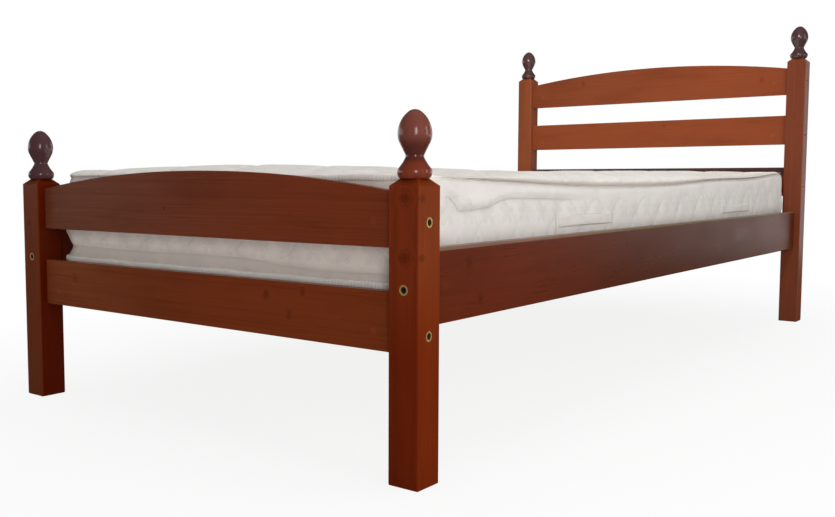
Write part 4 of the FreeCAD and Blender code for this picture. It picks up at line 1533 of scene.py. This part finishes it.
class BED_OT_stage(bpy.types.Operator):
    """Set the floor, the background, the lamps and the camera"""

    bl_idname = "bed.stage"
    bl_label = "Stage"

    def execute(self, context):
        stage = context.scene.bed_stage
        self.make_floor(stage)
        self.light_room(context.scene, stage)
        self.set_camera(context.scene, stage)
        context.scene.view_settings.view_transform = "Standard"
        return {"FINISHED"}

    def make_floor(self, stage):
        mesh = bpy.data.meshes.new("floor")
        bm = bmesh.new()
        bmesh.ops.create_grid(bm, x_segments=1, y_segments=1, size=FLOOR_HALF_WIDTH)
        bm.to_mesh(mesh)
        bm.free()
        floor = shown("floor", mesh)
        material, n, shader = new_material("floor_paint")
        n.wire(shader, {
            "Base Color": opaque(stage.floor_colour), "Roughness": 0.9, "Specular IOR Level": 0.0})
        reach = n.vector("LENGTH", n.scaled(object_place(n), (1.0, 0.62, 0)), output=1)
        far = n.ramp(reach, 0.5, 1.6, 0.86, 1.0)
        path = n.add("ShaderNodeLightPath", (), None).outputs
        mirrored = path["Is Glossy Ray"]
        behind = n.ramp(n.split(object_place(n))[1], 3.0, 4.4)
        glow = n.between(mirrored, 1.0, mirrored_room(n, behind))
        white = n.add("ShaderNodeEmission", {"Color": WHITE, "Strength": glow})
        share = n.math("MAXIMUM", n.times(far, seen_directly(path, n)), mirrored)
        mixed = n.add("ShaderNodeMixShader", {0: share, 1: shader.outputs[0], 2: white})
        n.wire(material.node_tree.nodes["Material Output"], {"Surface": mixed})
        mesh.materials.append(material)

    def light_room(self, scene, stage):
        world = bpy.data.worlds.new("room")
        world.use_nodes = True
        scene.world = world
        n = Nodes(world.node_tree)
        backdrop = world.node_tree.nodes["Background"]
        path = n.add("ShaderNodeLightPath", (), None).outputs
        light = n.times_plus(seen_directly(path, n), 1.0 - stage.room_light, stage.room_light)
        way = n.split(n.add("ShaderNodeTexCoord", (), "Generated"))
        level = n.ramp(n.absolute(way[2]), 0.10, 0.35, 1.0, 0.0)
        left_wall = n.times(n.ramp(way[0], -0.86, -0.66, 1.0, 0.0), level)
        behind = n.math("MAXIMUM", n.ramp(way[1], 0.935, 0.975), left_wall)
        shine = n.between(path["Is Glossy Ray"], light, mirrored_room(n, behind))
        n.wire(backdrop, {"Color": WHITE, "Strength": shine})
        area_lamp("window_behind", place=(2.9, -3.5, 1.2), target=(0.2, -0.6, 0.45), size=(0.7, 1.8),
                  power=stage.window_power)
        area_lamp("window_beyond", place=(3.4, 0.9, 1.2), target=(0.2, -0.2, 0.45), size=(0.4, 1.6),
                  power=stage.far_window_power)
        area_lamp("ceiling", place=(0.3, -0.2, 3.2), target=(0.0, 0.0, 0.4), size=(2.4, 3.0),
                  power=stage.ceiling_power, mirrored=False)
        area_lamp("side", place=(2.2, -1.2, 1.0), target=(0.5, -0.9, 0.35), size=(0.6, 1.4),
                  power=stage.side_power, mirrored=False)
        spot_lamp("headboard", place=(0.9, -3.2, 2.1), target=(-0.15, 1.0, 0.68), angle=math.radians(26),
                  power=stage.head_power)

    def set_camera(self, scene, stage):
        data = bpy.data.cameras.new("camera")
        data.sensor_fit = "HORIZONTAL"
        data.sensor_width = SENSOR_WIDTH
        data.lens = stage.camera_lens
        data.shift_x, data.shift_y = stage.frame_shift
        camera = bpy.data.objects.new("camera", data)
        camera.location = stage.camera_place
        camera.rotation_euler = (math.pi / 2 - stage.camera_dip, 0, stage.camera_turn)
        scene.collection.objects.link(camera)
        scene.camera = camera


GROUPS = {"bed_wood": BedWood, "bed_mattress": BedMattress, "bed_stage": BedStage}
OPERATORS = (BED_OT_posts, BED_OT_rails, BED_OT_finials, BED_OT_deck, BED_OT_fittings, BED_OT_cover,
             BED_OT_bindings, BED_OT_handles, BED_OT_stage)


class BED_PT_sidebar(bpy.types.Panel):
    """The bed's pieces in the order in which they are made"""

    bl_idname = "BED_PT_sidebar"
    bl_label = "Pine Single Bed"
    bl_space_type = "VIEW_3D"
    bl_region_type = "UI"
    bl_category = "Bed"

    def draw(self, context):
        for operator in OPERATORS:
            self.layout.operator(operator.bl_idname)
        for group_name in GROUPS:
            group = getattr(context.scene, group_name)
            for name in group.bl_rna.properties.keys():
                if name not in ("rna_type", "name"):
                    self.layout.prop(group, name)


CLASSES = (*GROUPS.values(), *OPERATORS, BED_PT_sidebar)


def register():
    for cls in CLASSES:
        bpy.utils.register_class(cls)
    for name, group in GROUPS.items():
        setattr(bpy.types.Scene, name, bpy.props.PointerProperty(type=group))


def unregister():
    for name in GROUPS:
        delattr(bpy.types.Scene, name)
    for cls in reversed(CLASSES):
        bpy.utils.unregister_class(cls)


def main():
    register()
    bpy.ops.bed.posts()
    bpy.ops.bed.rails()
    bpy.ops.bed.finials()
    bpy.ops.bed.deck()
    bpy.ops.bed.fittings()
    bpy.ops.bed.cover()
    bpy.ops.bed.bindings()
    bpy.ops.bed.handles()
    bpy.ops.bed.stage()


if __name__ == "__main__":
    main()
